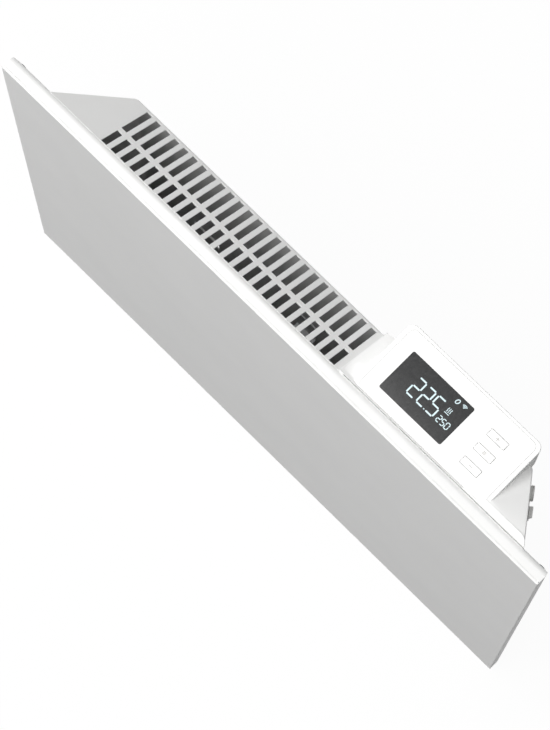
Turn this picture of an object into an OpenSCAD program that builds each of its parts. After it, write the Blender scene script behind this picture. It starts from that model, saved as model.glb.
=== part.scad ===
// Wall panel convector heater: a folded steel front panel, a pressed rear pan with an outlet
// grille in its sloped top, a finned element inside, a control housing at the right end with
// a display and three keys, and a wall rail that the heater hangs on.
// Millimetres. +X is to the right seen from the front, +Y is towards the wall, +Z is up.
// The origin is the centre of the wall rail's back face.

/* [Front panel] */
// Width of the front panel
panel_w = 530; // [480:10:1200]
// Height of the front panel
panel_h = 400; // [340:10:600]
// Depth of the panel's folded edges
panel_lip = 12; // [10:0.5:16]
// Thickness of the panel's sheet
panel_sheet = 1.2; // [0.8:0.1:1.6]
// Outer radius of the bend between the face and the edges
panel_bend = 1.8; // [1:0.1:3]
// Outer radius of the rolled rear edge
panel_roll = 4; // [2:0.5:5]
// Width of the flange behind the rolled edge
panel_hem = 18; // [15:1:24]

/* [Rear pan] */
// From the front face to the wall
total_depth = 85; // [80:1:110]
// From the front face to the outside of the pan's rear wall
pan_depth = 59.2; // [54:0.2:64]
// From the panel's side edge to the pan's side wall, at the front
pan_inset = 38; // [32:1:48]
// How far each side wall leans in on its way to the rear
side_lean = 39; // [30:1:46]
// Fall of the top wall towards the rear, in degrees
slope_angle = 32.7; // [28:0.1:36]
// Step from the panel's top edge down to the pan's top wall
pan_step = 1.6; // [1.2:0.1:4]
// Thickness of the pan's sheet
pan_sheet = 1; // [0.8:0.1:1.4]
// Radius of the pan's upright rear corners
pan_corner = 5; // [4:0.5:14]
// Radius of the bend between the sloped and the rear wall
pan_bend = 2; // [1.5:0.1:4]

/* [Outlet and intake slots] */
// Distance from one slot to the next
slot_pitch = 9.5; // [8:0.1:12]
// Width of one slot
slot_w = 5.3; // [4:0.1:6.5]
// From the pan's front left corner to the first slot
slot_start = 51.6; // [46:0.2:60]
// Depth of the front row, seen from above
slot_front_l = 15.9; // [10:0.1:20]
// Bar between the front row and the rear row
slot_bar = 3.5; // [2.5:0.1:6]
// From the end of the rear row to the rear wall
slot_rear_margin = 2; // [1.5:0.1:5]

/* [Heating element] */
// Height of the finned aluminium body
fin_h = 58; // [40:1:70]
// Thickness of a fin
fin_t = 1.8; // [1.2:0.1:2.4]
// Radius of the element's steel tube
rod_r = 4.2; // [3.5:0.1:5]
// Height of the element's centre above the panel's bottom edge
element_up = 108; // [95:1:130]
// Clear length between an element bracket and the wall next to it
element_end_gap = 25; // [23:1:40]

/* [Control housing] */
// Width of the housing along the panel
housing_w = 178; // [174:1:190]
// From the panel's right edge to the housing's right end
housing_inset = 24; // [20:1:32]
// How far the housing's right wall leans in on its way to the rear
housing_lean = 36.6; // [30:0.2:42]
// How far the housing stands above the pan's sloped wall
housing_proud = 1.5; // [1.2:0.1:3]
// How far the housing stands behind the pan's rear wall
housing_behind = 3.3; // [3:0.1:5]
// Height of the housing, from the panel's top edge down
housing_h = 84; // [82:1:100]
// Fall of the housing's right shoulder towards the rear, in degrees
shoulder_angle = 23; // [16:0.5:27]
// Wall thickness of the housing
housing_wall = 2.2; // [1.8:0.1:2.6]
// Width of the ledge beside the pod
ledge_l = 6.3; // [5:0.1:9]

/* [Pod and cap] */
// Width of the pod that carries the display
pod_w = 127; // [126:1:132]
// Front-to-rear size of the pod
pod_l = 60.6; // [60:0.2:64]
// From the housing's left edge to the pod
pod_inset = 12.5; // [8:0.5:16]
// Width of the cap
cap_w = 120; // [118:0.5:121]
// Front-to-rear size of the cap
cap_l = 56.8; // [55:0.2:57.4]
// Thickness of the cap
cap_t = 2.4; // [2:0.1:3]
// Height of the cap's middle above the panel's top edge
cap_rise = 0.65; // [0.4:0.05:3]
// Rise of the cap towards the rear, in degrees
cap_tilt = 3.3; // [2:0.1:6]
// Visible gap round the cap
cap_gap = 0.25; // [0.15:0.05:0.4]

/* [Display and keys] */
// Width of the display window
window_w = 59.3; // [54:0.1:62]
// Front-to-rear size of the display window
window_l = 35.4; // [30:0.1:38]
// Thickness of the display window
window_t = 1.5; // [1:0.1:1.7]
// Width of a key
key_w = 16.6; // [12:0.1:20]
// Front-to-rear size of a key
key_l = 6.4; // [5:0.1:8]
// Distance from one key to the next
key_pitch = 13.4; // [11:0.1:14]
// Gap round a key
key_gap = 0.3; // [0.2:0.05:0.5]
// Travel of a key
key_travel = 0.6; // [0.3:0.1:1]

/* [Power switch and cable entry] */
// Front-to-rear size of the switch's bezel
bezel_w = 14; // [12:0.5:15]
// Height of the switch's bezel
bezel_h = 20; // [18:0.5:24]
// Swing of the rocker from one side to the other, in degrees
rocker_swing = 14; // [8:1:18]
// Radius of the cable entry's bore
gland_bore = 3.4; // [2.8:0.1:4]
// Radius of the cable entry's head
gland_head = 6; // [5.5:0.1:6.5]

/* [Wall rail] */
// Width of the wall rail
rail_w = 320; // [240:10:400]
// Height of the wall rail
rail_h = 54; // [50:1:80]
// Thickness of the rail's sheet
rail_sheet = 1.5; // [1.2:0.1:2]
// Height of the rail's centre above the panel's centre
rail_up = 20; // [0:1:60]
// Distance between the left and the right hooks
hook_span = 240; // [180:10:280]
// Width of a hook
hook_w = 24; // [16:1:30]
// Height of a hook's upturned tip
hook_tip = 8; // [6:0.5:10]
// Distance between the wall screw holes, across
wall_hole_dx = 280; // [200:10:300]
// Distance between the wall screw holes, up
wall_hole_dz = 30; // [20:1:36]
// Radius of the wall screw holes
wall_hole_r = 2.75; // [2:0.05:3.5]

/* [Hidden] */
$fn = 48;

// Overrun of a cut, length of a cut right through one wall, clearance between pieces that lie
// side by side, and steps in a bend
over = 1;
through = 6;
deep = 20;
fit = 0.3;
bend_steps = 6;

// Main planes of the front panel and the pan
y_front = -total_depth;
y_lip = y_front + panel_lip;
y_flange = y_lip + pan_sheet;
y_pan = y_front + pan_depth;
x_right = panel_w / 2;
z_mid = -rail_up;
z_top = z_mid + panel_h / 2;
z_bottom = z_mid - panel_h / 2;
pan_half = x_right - pan_inset;
side_angle = atan2(side_lean, y_pan - y_lip);

// How far the heater is lifted to come off the rail's hooks
lift_spare = 1;
lift = hook_tip + lift_spare;

// Pan flange: its margin inside the panel's outline and the depth of its inner leg
flange_margin = 3;
flange_drop = 6;
leg_past_hem = 8;
pan_leg = panel_hem + leg_past_hem;

// Control housing
x_house1 = x_right - housing_inset;
x_house0 = x_house1 - housing_w;
y_house0 = y_lip + 2 * fit - cap_gap / 2;
y_house1 = y_pan + housing_behind;
z_house = z_top - housing_h;
house_angle = atan2(housing_lean, y_house1 - y_house0);
house_lap = 4;
house_overlap = 10;
house_corner = 3;
ledge_round_share = 1.2;
ledge_r = ledge_l * ledge_round_share;
ledge_h = 8;
x_cut = x_house0 + house_lap;
z_cut = z_house + house_overlap;
y_cavity = y_flange + fit / 3 + housing_wall;
z_cavity = z_cut + fit + housing_wall;

// Pod, cap and what hangs from the cap
x_pod = x_house0 + pod_inset;
x_cap = x_pod + pod_w / 2;
cap_front_rim = 1.3;
y_cap = y_house0 + cap_front_rim + cap_l / 2;
z_cap = z_top + cap_rise;
pod_corner = 6;
pod_drop = 38;
pod_chamfer = 8;
x_shoulder = x_pod + pod_w - pod_corner;
cap_corner = 4.5;
cap_seat = 1.6;
seat_t = 2;
window_corner = 1.5;
window_from_left = 11.7;
window_from_front = 9.4;
window_ledge = 3;
window_fit = 0.1;
x_window = window_from_left + window_w / 2 - cap_w / 2;
y_window = window_from_front + window_l / 2 - cap_l / 2;
key_from_right = 23.3;
key_from_front = 13.7;
x_keys = cap_w / 2 - key_from_right;
y_keys = key_from_front - cap_l / 2;
key_corner = 0.8;
key_proud = 0.2;
key_skirt = 1;
key_skirt_t = 0.8;
key_under = 0.15;
key_stem = 1;
key_stem_r = 1.5;
icon_t = 0.35;
key_switch_w = 6;
key_switch_h = 3.5;
plunger_r = 1.7;
plunger_h = 1;
plunger_gap = 0.1;
board_t = 1.6;
z_plunger = -cap_t - key_under - key_skirt_t - key_stem - key_travel - plunger_gap;
z_board = z_plunger - plunger_h - key_switch_h;
board_margin = 6;
board_w = cap_w - 2 * board_margin;
board_l = cap_l - 2 * board_margin;
post_r = 2.6;
post_inset = 4;

// Power board, upright behind the housing's front wall
standoff_h = 4;
standoff_r = 3;
power_w = 100;
power_from_pod = 12;
power_drop = 20;
power_clear = 5.5;
x_power = x_pod + power_from_pod;
z_power = z_top - power_drop;
power_h = z_power - z_cavity - power_clear;
y_power = y_cavity + standoff_h;
y_parts = y_power + board_t;
part_gap = 3;
header_h = 4;
header_l = 3.2;
header_clear = 5;
transformer = [32, 24, power_h - 2 * header_h - header_clear - 2 * part_gap];
relay_h_share = 0.33;
relay = [19, 15.5, power_h * relay_h_share];
terminal_h_share = 0.3;
terminal = [26, 13, power_h * terminal_h_share];
capacitor_r_share = 0.11;
capacitor_r = power_h * capacitor_r_share;
capacitor_h = 18;

// Right wall: switch and cable entry, measured along the wall from its front edge
switch_along = 33.3;
gland_along = 47.8;
side_drop = housing_h / 2;
z_side = z_top - side_drop;
bezel_t = 1.8;
bezel_rim = 1.4;
switch_in = 14;
rocker_out = 2.6;
rocker_r = 7;
pivot_r = 1;
pivot_fit = 0.05;
pivot_in = 1.2;
tab_w = 4.8;
tab_t = 0.8;
tab_l = 7;
gland_out = 4.4;
gland_shank = 5;
gland_in = 10;
nut_h = 3;
nut_r = 7;
thread_fit = 0.05;

// Fasteners
screw_r = 1.9;
screw_head_r = 3.6;
screw_head_h = 1.5;
screw_from_end = 7;
screw_from_top = 13;
small_r = 1.25;
small_head_r = 2.4;
small_head_h = 1.5;
small_l = 6;
board_screw_l = 5.5;
rivet_r = 1.6;
rivet_head_r = 3;
rivet_head_h = 1;

// Element and its carriers
shield_t = 0.6;
shield_lap = 7;
shield_side_gap = 1.5;
y_shield = y_flange + shield_t;
y_inner = y_pan - pan_sheet;
partition_t = 1;
x_partition = x_house0 - partition_t - fit;
x_hot0 = -pan_half + side_lean;
element_x0 = x_hot0 + element_end_gap;
element_x1 = x_partition - element_end_gap;
y_element = (y_shield + y_inner) / 2;
z_element = z_bottom + element_up;
fin_air = 4.4;
fin_reach = (y_inner - y_shield) / 2 - fin_air;
tube_wall = 2.2;
rod_fit = 0.1;
rod_out = 12;
pin_r = 1.5;
pin_l = 5;
bracket_t = 1.2;
bracket_w = 22;
bracket_h = 44;
foot_l = 14;
bush_r = 8;
bush_flange = 10;
bush_flange_t = 2;
bush_fit = 0.1;
rivet_pitch = 28;

// Thermal cut-out on a bracket above the element. Its rivet lies in the hollow of the wall rail, so
// that the head stays clear of the rail's flanges while the heater is lifted off.
cutout_r = 8;
cutout_t = 6;
cutout_from_end = 46;
clip_w = 20;
clip_t = 1;
clip_l = 30;
clip_off = 10;
x_cutout = element_x1 - cutout_from_end;
z_clip_rivet = -lift / 2;
z_cutout = z_clip_rivet + clip_off - clip_l;
cutout_up = z_cutout - z_element;

// Wires
wire_r = 1.3;
grommet_r = 4;
grommet_flange = 5.5;
grommet_flange_t = 1.5;
grommet_z = [z_element, z_element + cutout_up / 2];
riser_from_partition = 28;
x_riser = x_partition + riser_from_partition;
y_riser = y_element;
riser_r = 5.2;

// Wall rail and spacers
rail_depth = total_depth - pan_depth - fit;
hook_play = 0.5;
hook_reach = fit + pan_sheet + hook_play + rail_sheet;
hook_side = 1.5;
hang_gap = 0.1;
hook_slot_h = lift + rail_sheet + lift_spare / 2 + hang_gap;
spacer_x = 150;
spacer_up = 62;
spacer_r = 9;
spacer_wall = 2;
spacer_stem_r = 3;

// Outlines
function unit(v) = v / norm(v);
function swap(outline) = [for (p = outline) [p[1], p[0]]];

// Points of the arc that rounds the corner q between p and s
function arc_at(p, q, s, r) =
    let (a = unit(p - q), b = unit(s - q), half = acos(a * b) / 2,
         c = q + unit(a + b) * r / sin(half), from = q + a * r / tan(half) - c,
         to = q + b * r / tan(half) - c, start = atan2(from[1], from[0]),
         turn = (atan2(to[1], to[0]) - start + 540) % 360 - 180)
    [for (i = [0 : bend_steps]) let (a = start + turn * i / bend_steps) c + r * [cos(a), sin(a)]];

// Outline whose corners are rounded with the given radii
function rounded(points, radii) =
    let (n = len(points))
    [for (i = [0 : n - 1]) each radii[i] <= 0 ? [points[i]]
        : arc_at(points[(i + n - 1) % n], points[i], points[(i + 1) % n], radii[i])];

function rect(w, l, r) =
    rounded([[-w / 2, -l / 2], [w / 2, -l / 2], [w / 2, l / 2], [-w / 2, l / 2]], [r, r, r, r]);

// Section of the front panel between lo and hi, drawn in by g
function panel_section(lo, hi, g) =
    rounded([[lo + g, y_front + g], [hi - g, y_front + g], [hi - g, y_lip - g], [lo + g, y_lip - g]],
        [panel_bend - g, panel_bend - g, panel_roll - g, panel_roll - g]);

// Height of the pan's sloped top wall at depth y, or of a wall that falls by another angle
function slope_z(y, angle = slope_angle) = z_top - pan_step - (y - y_lip) * tan(angle);

// Upright section of the pan from front to rear, grown by g
function pan_section(y0, g) =
    let (y1 = y_pan + g, up = g / cos(slope_angle), z0 = slope_z(y0) + up, z1 = slope_z(y1) + up)
    rounded([[y0, z0], [y1, z1], [y1, 2 * z_mid - z1], [y0, 2 * z_mid - z0]],
        [0, pan_bend + g, pan_bend + g, 0]);

// Plan of the pan, grown by g
function pan_plan(y0, g) =
    let (y1 = y_pan + g, out = g / cos(side_angle),
         x0 = pan_half + out - (y0 - y_lip) * tan(side_angle),
         x1 = pan_half + out - (y1 - y_lip) * tan(side_angle))
    rounded([[-x0, y0], [x0, y0], [x1, y1], [-x1, y1]], [0, 0, pan_corner + g, pan_corner + g]);

// Upright section and plan of the housing's lower part, grown by g, from y0 to its rear wall
function house_section(y0, z0, g, angle) =
    let (y1 = y_house1 + g, up = (housing_proud + g) / cos(angle))
    rounded([[y0, z0], [y0, slope_z(y0, angle) + up], [y1, slope_z(y1, angle) + up], [y1, z0]],
        [0, 0, house_corner + g, 0]);
function house_plan(x0, y0, g) =
    let (y1 = y_house1 + g, out = g / cos(house_angle),
         xa = x_house1 + out - (y0 - y_house0) * tan(house_angle),
         xb = x_house1 + out - (y1 - y_house0) * tan(house_angle))
    rounded([[x0, y0], [xa, y0], [xb, y1], [x0, y1]], [0, house_corner / 2, house_corner + g, 0]);

// Solids from outlines along one axis, and a box between two corners
module along_x(x0, x1) { translate([x0, 0, 0]) rotate([90, 0, 90]) linear_extrude(x1 - x0) children(); }
module along_y(y0, y1) { translate([0, y1, 0]) rotate([90, 0, 0]) linear_extrude(y1 - y0) children(); }
module along_z(z0, z1) { translate([0, 0, z0]) linear_extrude(z1 - z0) children(); }
module box(a, b) { translate(a) cube(b - a); }
module both_sides() { children(); mirror([1, 0, 0]) children(); }
module upside_down() { translate([0, 0, 2 * z_mid]) mirror([0, 0, 1]) children(); }

// Places: on the cap, on the pan's sloped wall, and on the housing's right wall
module on_cap() { translate([x_cap, y_cap, z_cap]) rotate([cap_tilt, 0, 0]) children(); }
module on_slope() { translate([0, y_lip, z_top - pan_step]) rotate([-slope_angle, 0, 0]) children(); }
module on_side(along) {
    translate([x_house1, y_house0, z_side]) rotate([0, 0, house_angle]) translate([0, along, 0]) children();
}
module facing_rear() { rotate([-90, 0, 0]) children(); }

// Screw with its head above z = 0 and its shank below, and a cross recess
module screw(r, l, head_r, head_h) {
    rim_share = 0.35;
    shoulder_share = 0.75;
    crown_share = 0.85;
    slot = r / 2;
    difference() {
        union() {
            rotate_extrude() polygon([[0, 0], [head_r, 0], [head_r, head_h * rim_share],
                [head_r * shoulder_share, head_h * crown_share], [head_r * rim_share, head_h],
                [0, head_h]]);
            translate([0, 0, -l]) cylinder(h = l, r = r);
        }
        for (a = [0, 90]) rotate([0, 0, a])
            translate([-r, -slot / 2, head_h / 2]) cube([2 * r, slot, head_h]);
    }
}

// Blind rivet with a domed head above z = 0, and its upset end l below
module rivet(l) {
    crown_share = 0.6;
    rotate_extrude() polygon([[0, 0], [rivet_head_r, 0], [rivet_head_r * crown_share, rivet_head_h],
        [0, rivet_head_h]]);
    translate([0, 0, -l - rivet_head_h / 2]) cylinder(h = l + rivet_head_h / 2, r = rivet_r);
    translate([0, 0, -l - rivet_head_h]) cylinder(h = rivet_head_h, r = (rivet_r + rivet_head_r) / 2);
}

// Rings of a tube: each ring is carried along its stretch to the plane that halves the next bend
function carried(ring, d, p, n) = [for (q = ring) q + d * ((p - q) * n) / (d * n)];
function tube_rings(points, i, ring) = i >= len(points) ? [ring]
    : let (d = unit(points[i] - points[i - 1]),
           n = i == len(points) - 1 ? d : unit(d + unit(points[i + 1] - points[i])))
      concat([ring], tube_rings(points, i + 1, carried(ring, d, points[i], n)));

// Wire through the given points, as one eight-sided tube
module wire(points) {
    sides = 8;
    d = unit(points[1] - points[0]);
    u = unit(cross(d, abs(d[2]) > abs(d[0]) ? [1, 0, 0] : [0, 0, 1]));
    v = cross(d, u);
    first = [for (k = [0 : sides - 1]) let (a = 360 * k / sides)
        points[0] + wire_r * (cos(a) * u + sin(a) * v)];
    rings = tube_rings(points, 1, first);
    last = (len(rings) - 1) * sides;
    polyhedron([for (ring = rings) each ring], concat([[for (k = [0 : sides - 1]) k]],
        [for (i = [0 : len(rings) - 2]) for (k = [0 : sides - 1])
            let (a = i * sides + k, b = i * sides + (k + 1) % sides) [a, a + sides, b + sides, b]],
        [[for (k = [sides - 1 : -1 : 0]) last + k]]));
}

// Places of the screws through the pan's flange
module at_panel_screws() {
    for (x = [-x_right + screw_from_end, x_right - screw_from_end])
        for (z = [z_bottom + screw_from_top, z_mid, z_top - screw_from_top])
            translate([x, y_flange, z]) facing_rear() children();
}

module front_panel() {
    color("white") difference() {
        intersection() {
            along_z(z_bottom, z_top) polygon(panel_section(-x_right, x_right, 0));
            along_x(-x_right, x_right) polygon(swap(panel_section(z_bottom, z_top, 0)));
        }
        intersection() {
            along_z(z_bottom, z_top) polygon(panel_section(-x_right, x_right, panel_sheet));
            along_x(-x_right, x_right) polygon(swap(panel_section(z_bottom, z_top, panel_sheet)));
        }
        box([-x_right + panel_hem, y_lip - panel_lip / 2, z_bottom + panel_hem],
            [x_right - panel_hem, y_lip + over, z_top - panel_hem]);
        at_panel_screws() translate([0, 0, -panel_lip / 2])
            cylinder(h = panel_lip, r = screw_r + thread_fit);
    }
}

module panel_screws() {
    color("dimgray") at_panel_screws()
        screw(screw_r, pan_sheet + panel_sheet + screw_r, screw_head_r, screw_head_h);
}

// Both rows of slots, as cutters through the sloped wall
slot_field = x_house0 - fit - (-pan_half + slot_start);
slot_count = floor((slot_field - slot_w) / slot_pitch) + 1;
slot_rear_y = slot_front_l + slot_bar;
slot_lead = 0.5;
slot_rear_l = y_pan - y_lip - slot_rear_margin - slot_rear_y - slot_lead;
module slots() {
    stretch = 1 / cos(slope_angle);
    on_slope() for (i = [0 : slot_count - 1])
        translate([-pan_half + slot_start + i * slot_pitch, 0, -2 * pan_sheet]) {
            translate([0, slot_lead * stretch, 0]) cube([slot_w, slot_front_l * stretch, 3 * pan_sheet]);
            translate([0, (slot_lead + slot_rear_y) * stretch, 0])
                cube([slot_w, slot_rear_l * stretch, 3 * pan_sheet]);
        }
}

// Slots in the rear wall that take the rail's hooks
module hook_slots() {
    for (z = [rail_h / 2, rail_sheet - rail_h / 2]) both_sides()
        box([hook_span / 2 - hook_w / 2 - hook_side, y_inner - over, z + hang_gap - hook_slot_h],
            [hook_span / 2 + hook_w / 2 + hook_side, y_pan + over, z + hang_gap]);
}

// Pan without its slots, grown by g, from depth y0 to the rear wall
module pan_body(y0, g) {
    intersection() {
        along_z(z_bottom, z_top) polygon(pan_plan(y0, g));
        along_x(-x_right, x_right) polygon(pan_section(y0, g));
    }
}

module rear_pan() {
    color("white") difference() {
        union() {
            pan_body(y_lip, 0);
            box([-x_right + flange_margin, y_lip, z_bottom + flange_drop],
                [x_right - flange_margin, y_flange, z_top - flange_drop]);
        }
        pan_body(y_flange, -pan_sheet);
        box([-pan_half + shield_lap, y_lip - over, z_bottom + pan_leg],
            [pan_half - shield_lap, y_flange + over, z_top - pan_leg]);
        // Room for the control housing
        box([x_cut, y_flange, z_cut], [x_right, y_pan + over, z_top + over]);
        box([x_cut, y_lip - over, z_top - flange_drop], [x_right, y_pan + over, z_top + over]);
        slots();
        upside_down() slots();
        hook_slots();
        at_panel_screws() cylinder(h = through, r = screw_r + fit, center = true);
        at_bracket_rivets() cylinder(h = through, r = rivet_r + thread_fit, center = true);
        at_shield_rivets() cylinder(h = through, r = rivet_r + thread_fit, center = true);
        at_clip_rivet() cylinder(h = through, r = rivet_r + thread_fit, center = true);
        at_house_screws() cylinder(h = deep, r = small_r + thread_fit, center = true);
        at_spacers() cylinder(h = through, r = spacer_stem_r + fit / 2, center = true);
        at_earth() cylinder(h = through, r = small_r + thread_fit, center = true);
    }
}

// Sheet between the duct and the front panel, lying on the pan's inner legs
module at_shield_rivets() {
    for (x = [-pan_half / 2, x_partition - pan_leg, pan_half / 2 + pan_leg])
        for (z = [z_bottom + pan_leg - shield_lap / 2, z_top - pan_leg + shield_lap / 2])
            if (x < x_cut || z < z_cut) translate([x, y_lip, z]) rotate([90, 0, 0]) children();
}
module heat_shield() {
    x1 = pan_half - shield_side_gap - pan_sheet - (y_shield - y_lip) * tan(side_angle);
    color("silver") difference() {
        box([-x1, y_flange, z_bottom + pan_leg - shield_lap], [x1, y_shield, z_top - pan_leg + shield_lap]);
        at_shield_rivets() cylinder(h = through, r = rivet_r + thread_fit, center = true);
        box([x_cut, y_lip, z_cut], [x_right, y_shield + over, z_top]);
    }
}
module shield_rivets() {
    color("silver") at_shield_rivets() rivet(pan_sheet + shield_t);
}

// Extruded fins: a tube with four arms and short upright fins across them
module element_fins() {
    arm = norm([fin_reach, fin_h / 2]);
    lean = atan2(fin_h / 2, fin_reach);
    places_share = [0.5, 0.95];
    fin_share = 0.16;
    color("lightsteelblue") translate([0, y_element, z_element])
    along_x(element_x0, element_x1) difference() {
        union() {
            circle(rod_r + tube_wall);
            for (a = [lean, 180 - lean, 180 + lean, -lean]) rotate(a)
                translate([0, -fin_t / 2]) square([arm, fin_t]);
            for (k = places_share) for (sy = [-1, 1]) for (sz = [-1, 1])
                translate([sy * fin_reach * k - fin_t / 2, sz * fin_h / 2 * k - fin_h * fin_share / 2])
                    square([fin_t, fin_h * fin_share]);
        }
        circle(rod_r + rod_fit);
    }
}

module element_rod() {
    out = rod_out + bracket_t + bush_flange_t;
    color("gray") translate([0, y_element, z_element]) rotate([0, 90, 0]) {
        translate([0, 0, element_x0 - out]) cylinder(h = element_x1 - element_x0 + 2 * out, r = rod_r);
        translate([0, 0, element_x0 - out - pin_l])
            cylinder(h = element_x1 - element_x0 + 2 * (out + pin_l), r = pin_r);
    }
}

// Ceramic bushes that carry the rod in its brackets
module element_bushes() {
    color("ivory") translate([0, y_element, z_element])
        for (side = [-1, 1]) translate([side < 0 ? element_x0 - fit : element_x1 + fit, 0, 0])
            rotate([0, side * 90, 0]) rotate_extrude() polygon([
                [rod_r + rod_fit, 0], [bush_flange, 0], [bush_flange, bush_flange_t],
                [bush_r, bush_flange_t], [bush_r, 2 * bush_flange_t + bracket_t],
                [rod_r + rod_fit, 2 * bush_flange_t + bracket_t]]);
}

// Places of the rivets through the rear wall and a bracket's foot
module at_bracket_rivets() {
    for (x = [element_x0 - foot_l / 2 - fit - bush_flange_t, element_x1 + foot_l / 2 + fit + bush_flange_t])
        for (dz = [-rivet_pitch / 2, rivet_pitch / 2])
            translate([x, y_pan, z_element + dz]) facing_rear() children();
}
module element_brackets() {
    color("gainsboro") difference() {
        for (side = [-1, 1]) {
            x = side < 0 ? element_x0 - fit - bush_flange_t : element_x1 + fit + bush_flange_t;
            xa = min(x, x + side * bracket_t);
            xf = min(x, x + side * foot_l);
            box([xa, y_element - bracket_w / 2, z_element - bracket_h / 2],
                [xa + bracket_t, y_inner, z_element + bracket_h / 2]);
            box([xf, y_inner - bracket_t, z_element - bracket_h / 2],
                [xf + foot_l, y_inner, z_element + bracket_h / 2]);
        }
        translate([0, y_element, z_element]) rotate([0, 90, 0])
            cylinder(h = panel_w, r = bush_r + bush_fit, center = true);
        at_bracket_rivets() cylinder(h = through, r = rivet_r + thread_fit, center = true);
    }
}
module bracket_rivets() {
    color("silver") {
        at_bracket_rivets() rivet(pan_sheet + bracket_t);
        at_clip_rivet() rivet(pan_sheet + clip_t);
    }
}

// Bracket that holds the thermal cut-out in the warm air above the element
module at_clip_rivet() {
    translate([x_cutout, y_pan, z_clip_rivet]) facing_rear() children();
}
module cutout_bracket() {
    x0 = x_cutout - clip_w / 2;
    x1 = x_cutout + clip_w / 2;
    y0 = y_inner - clip_off;
    color("gainsboro") difference() {
        union() {
            box([x0, y_inner - clip_t, z_cutout], [x1, y_inner, z_cutout + clip_l]);
            box([x0, y0, z_cutout], [x1, y_inner, z_cutout + clip_t]);
            box([x0, y0, z_cutout - clip_w], [x1, y0 + clip_t, z_cutout + clip_t]);
        }
        at_clip_rivet() cylinder(h = through, r = rivet_r + thread_fit, center = true);
    }
}
module thermal_cutout() {
    tab = [tab_t, tab_l, tab_w];
    color("black") translate([x_cutout, y_inner - clip_off, z_cutout - clip_w / 2]) {
        rotate([90, 0, 0]) cylinder(h = cutout_t, r = cutout_r);
        for (side = [-1, 1])
            translate([side * cutout_r / 2 - tab_t / 2, -cutout_t - tab_l, -tab_w / 2]) cube(tab);
    }
}

// Upright steel wall between the warm duct and the electrics
module electrics_partition() {
    color("gainsboro") difference() {
        along_x(x_partition, x_partition + partition_t)
            polygon(pan_section(y_shield, -pan_sheet - fit / 3));
        for (z = grommet_z) translate([x_partition - over, y_element, z]) rotate([0, 90, 0])
            cylinder(h = partition_t + 2 * over, r = grommet_r + bush_fit);
    }
}
module partition_grommets() {
    color("black") for (z = grommet_z)
        translate([x_partition + partition_t / 2, y_element, z]) rotate([0, 90, 0]) difference() {
            union() {
                cylinder(h = partition_t + 2 * grommet_flange_t, r = grommet_r, center = true);
                for (side = [-1, 1]) translate([0, 0, side * (partition_t + grommet_flange_t) / 2])
                    cylinder(h = grommet_flange_t, r = grommet_flange, center = true);
            }
            cylinder(h = deep, r = wire_r + thread_fit, center = true);
        }
}

// Space above the cap's underside, or above a plane dz over its top
module above_cap(dz) {
    on_cap() translate([-pod_w, -pod_l, dz]) cube([2 * pod_w, 2 * pod_l, housing_h]);
}

// Outside of the pod, with a chamfer under its overhang at the rear
module pod_outside() {
    y1 = y_house0 + pod_l;
    difference() {
        intersection() {
            along_z(z_top - pod_drop, z_top + housing_h / 2) translate([x_cap, y_house0 + pod_l / 2])
                polygon(rect(pod_w, pod_l, pod_corner));
            along_x(x_pod - over, x_pod + pod_w + over) polygon([
                [y_house0 - over, z_top - pod_drop], [y1 - pod_chamfer, z_top - pod_drop],
                [y1 + over, z_top - pod_drop + pod_chamfer + over], [y1 + over, z_top + housing_h],
                [y_house0 - over, z_top + housing_h]]);
        }
        above_cap(0);
    }
}

// Where the housing's screws go into the pan's rear wall
module at_house_screws() {
    for (x = [x_pod, x_pod + pod_w - 3 * pod_inset])
        translate([x, y_house1, z_house + house_overlap / 2]) facing_rear() children();
}

// Recess in the housing's rear wall that takes the terminal cover
cover_t = 1.4;
cover_from_pod = 20;
cover_lap = 3;
cover_up = 3.5;
cover_under_pod = 4;
x_cover0 = x_pod + cover_from_pod;
x_cover1 = x_pod + pod_w - 2 * cover_from_pod;
z_cover = z_cavity + cover_up;
cover_h = z_top - pod_drop - cover_under_pod - z_cover;
module at_cover_screws() {
    for (x = [x_cover0 + cover_lap, x_cover1 - cover_lap])
        translate([x, y_house1, z_cover + cover_h / 2]) facing_rear() children();
}

// Body of the housing under its pod, grown by g: its top wall lies on the pan's slope up to x1,
// and from there it is the flatter shoulder
module house_body(x0, x1, y0, z0, g) {
    intersection() {
        along_z(z0, z_top + housing_h) polygon(house_plan(x0, y0, g));
        union() {
            along_x(x0 - over, x1) polygon(house_section(y0, z0, g, slope_angle));
            along_x(x1, x_right) polygon(house_section(y0, z0, g, shoulder_angle));
        }
    }
}

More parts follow.
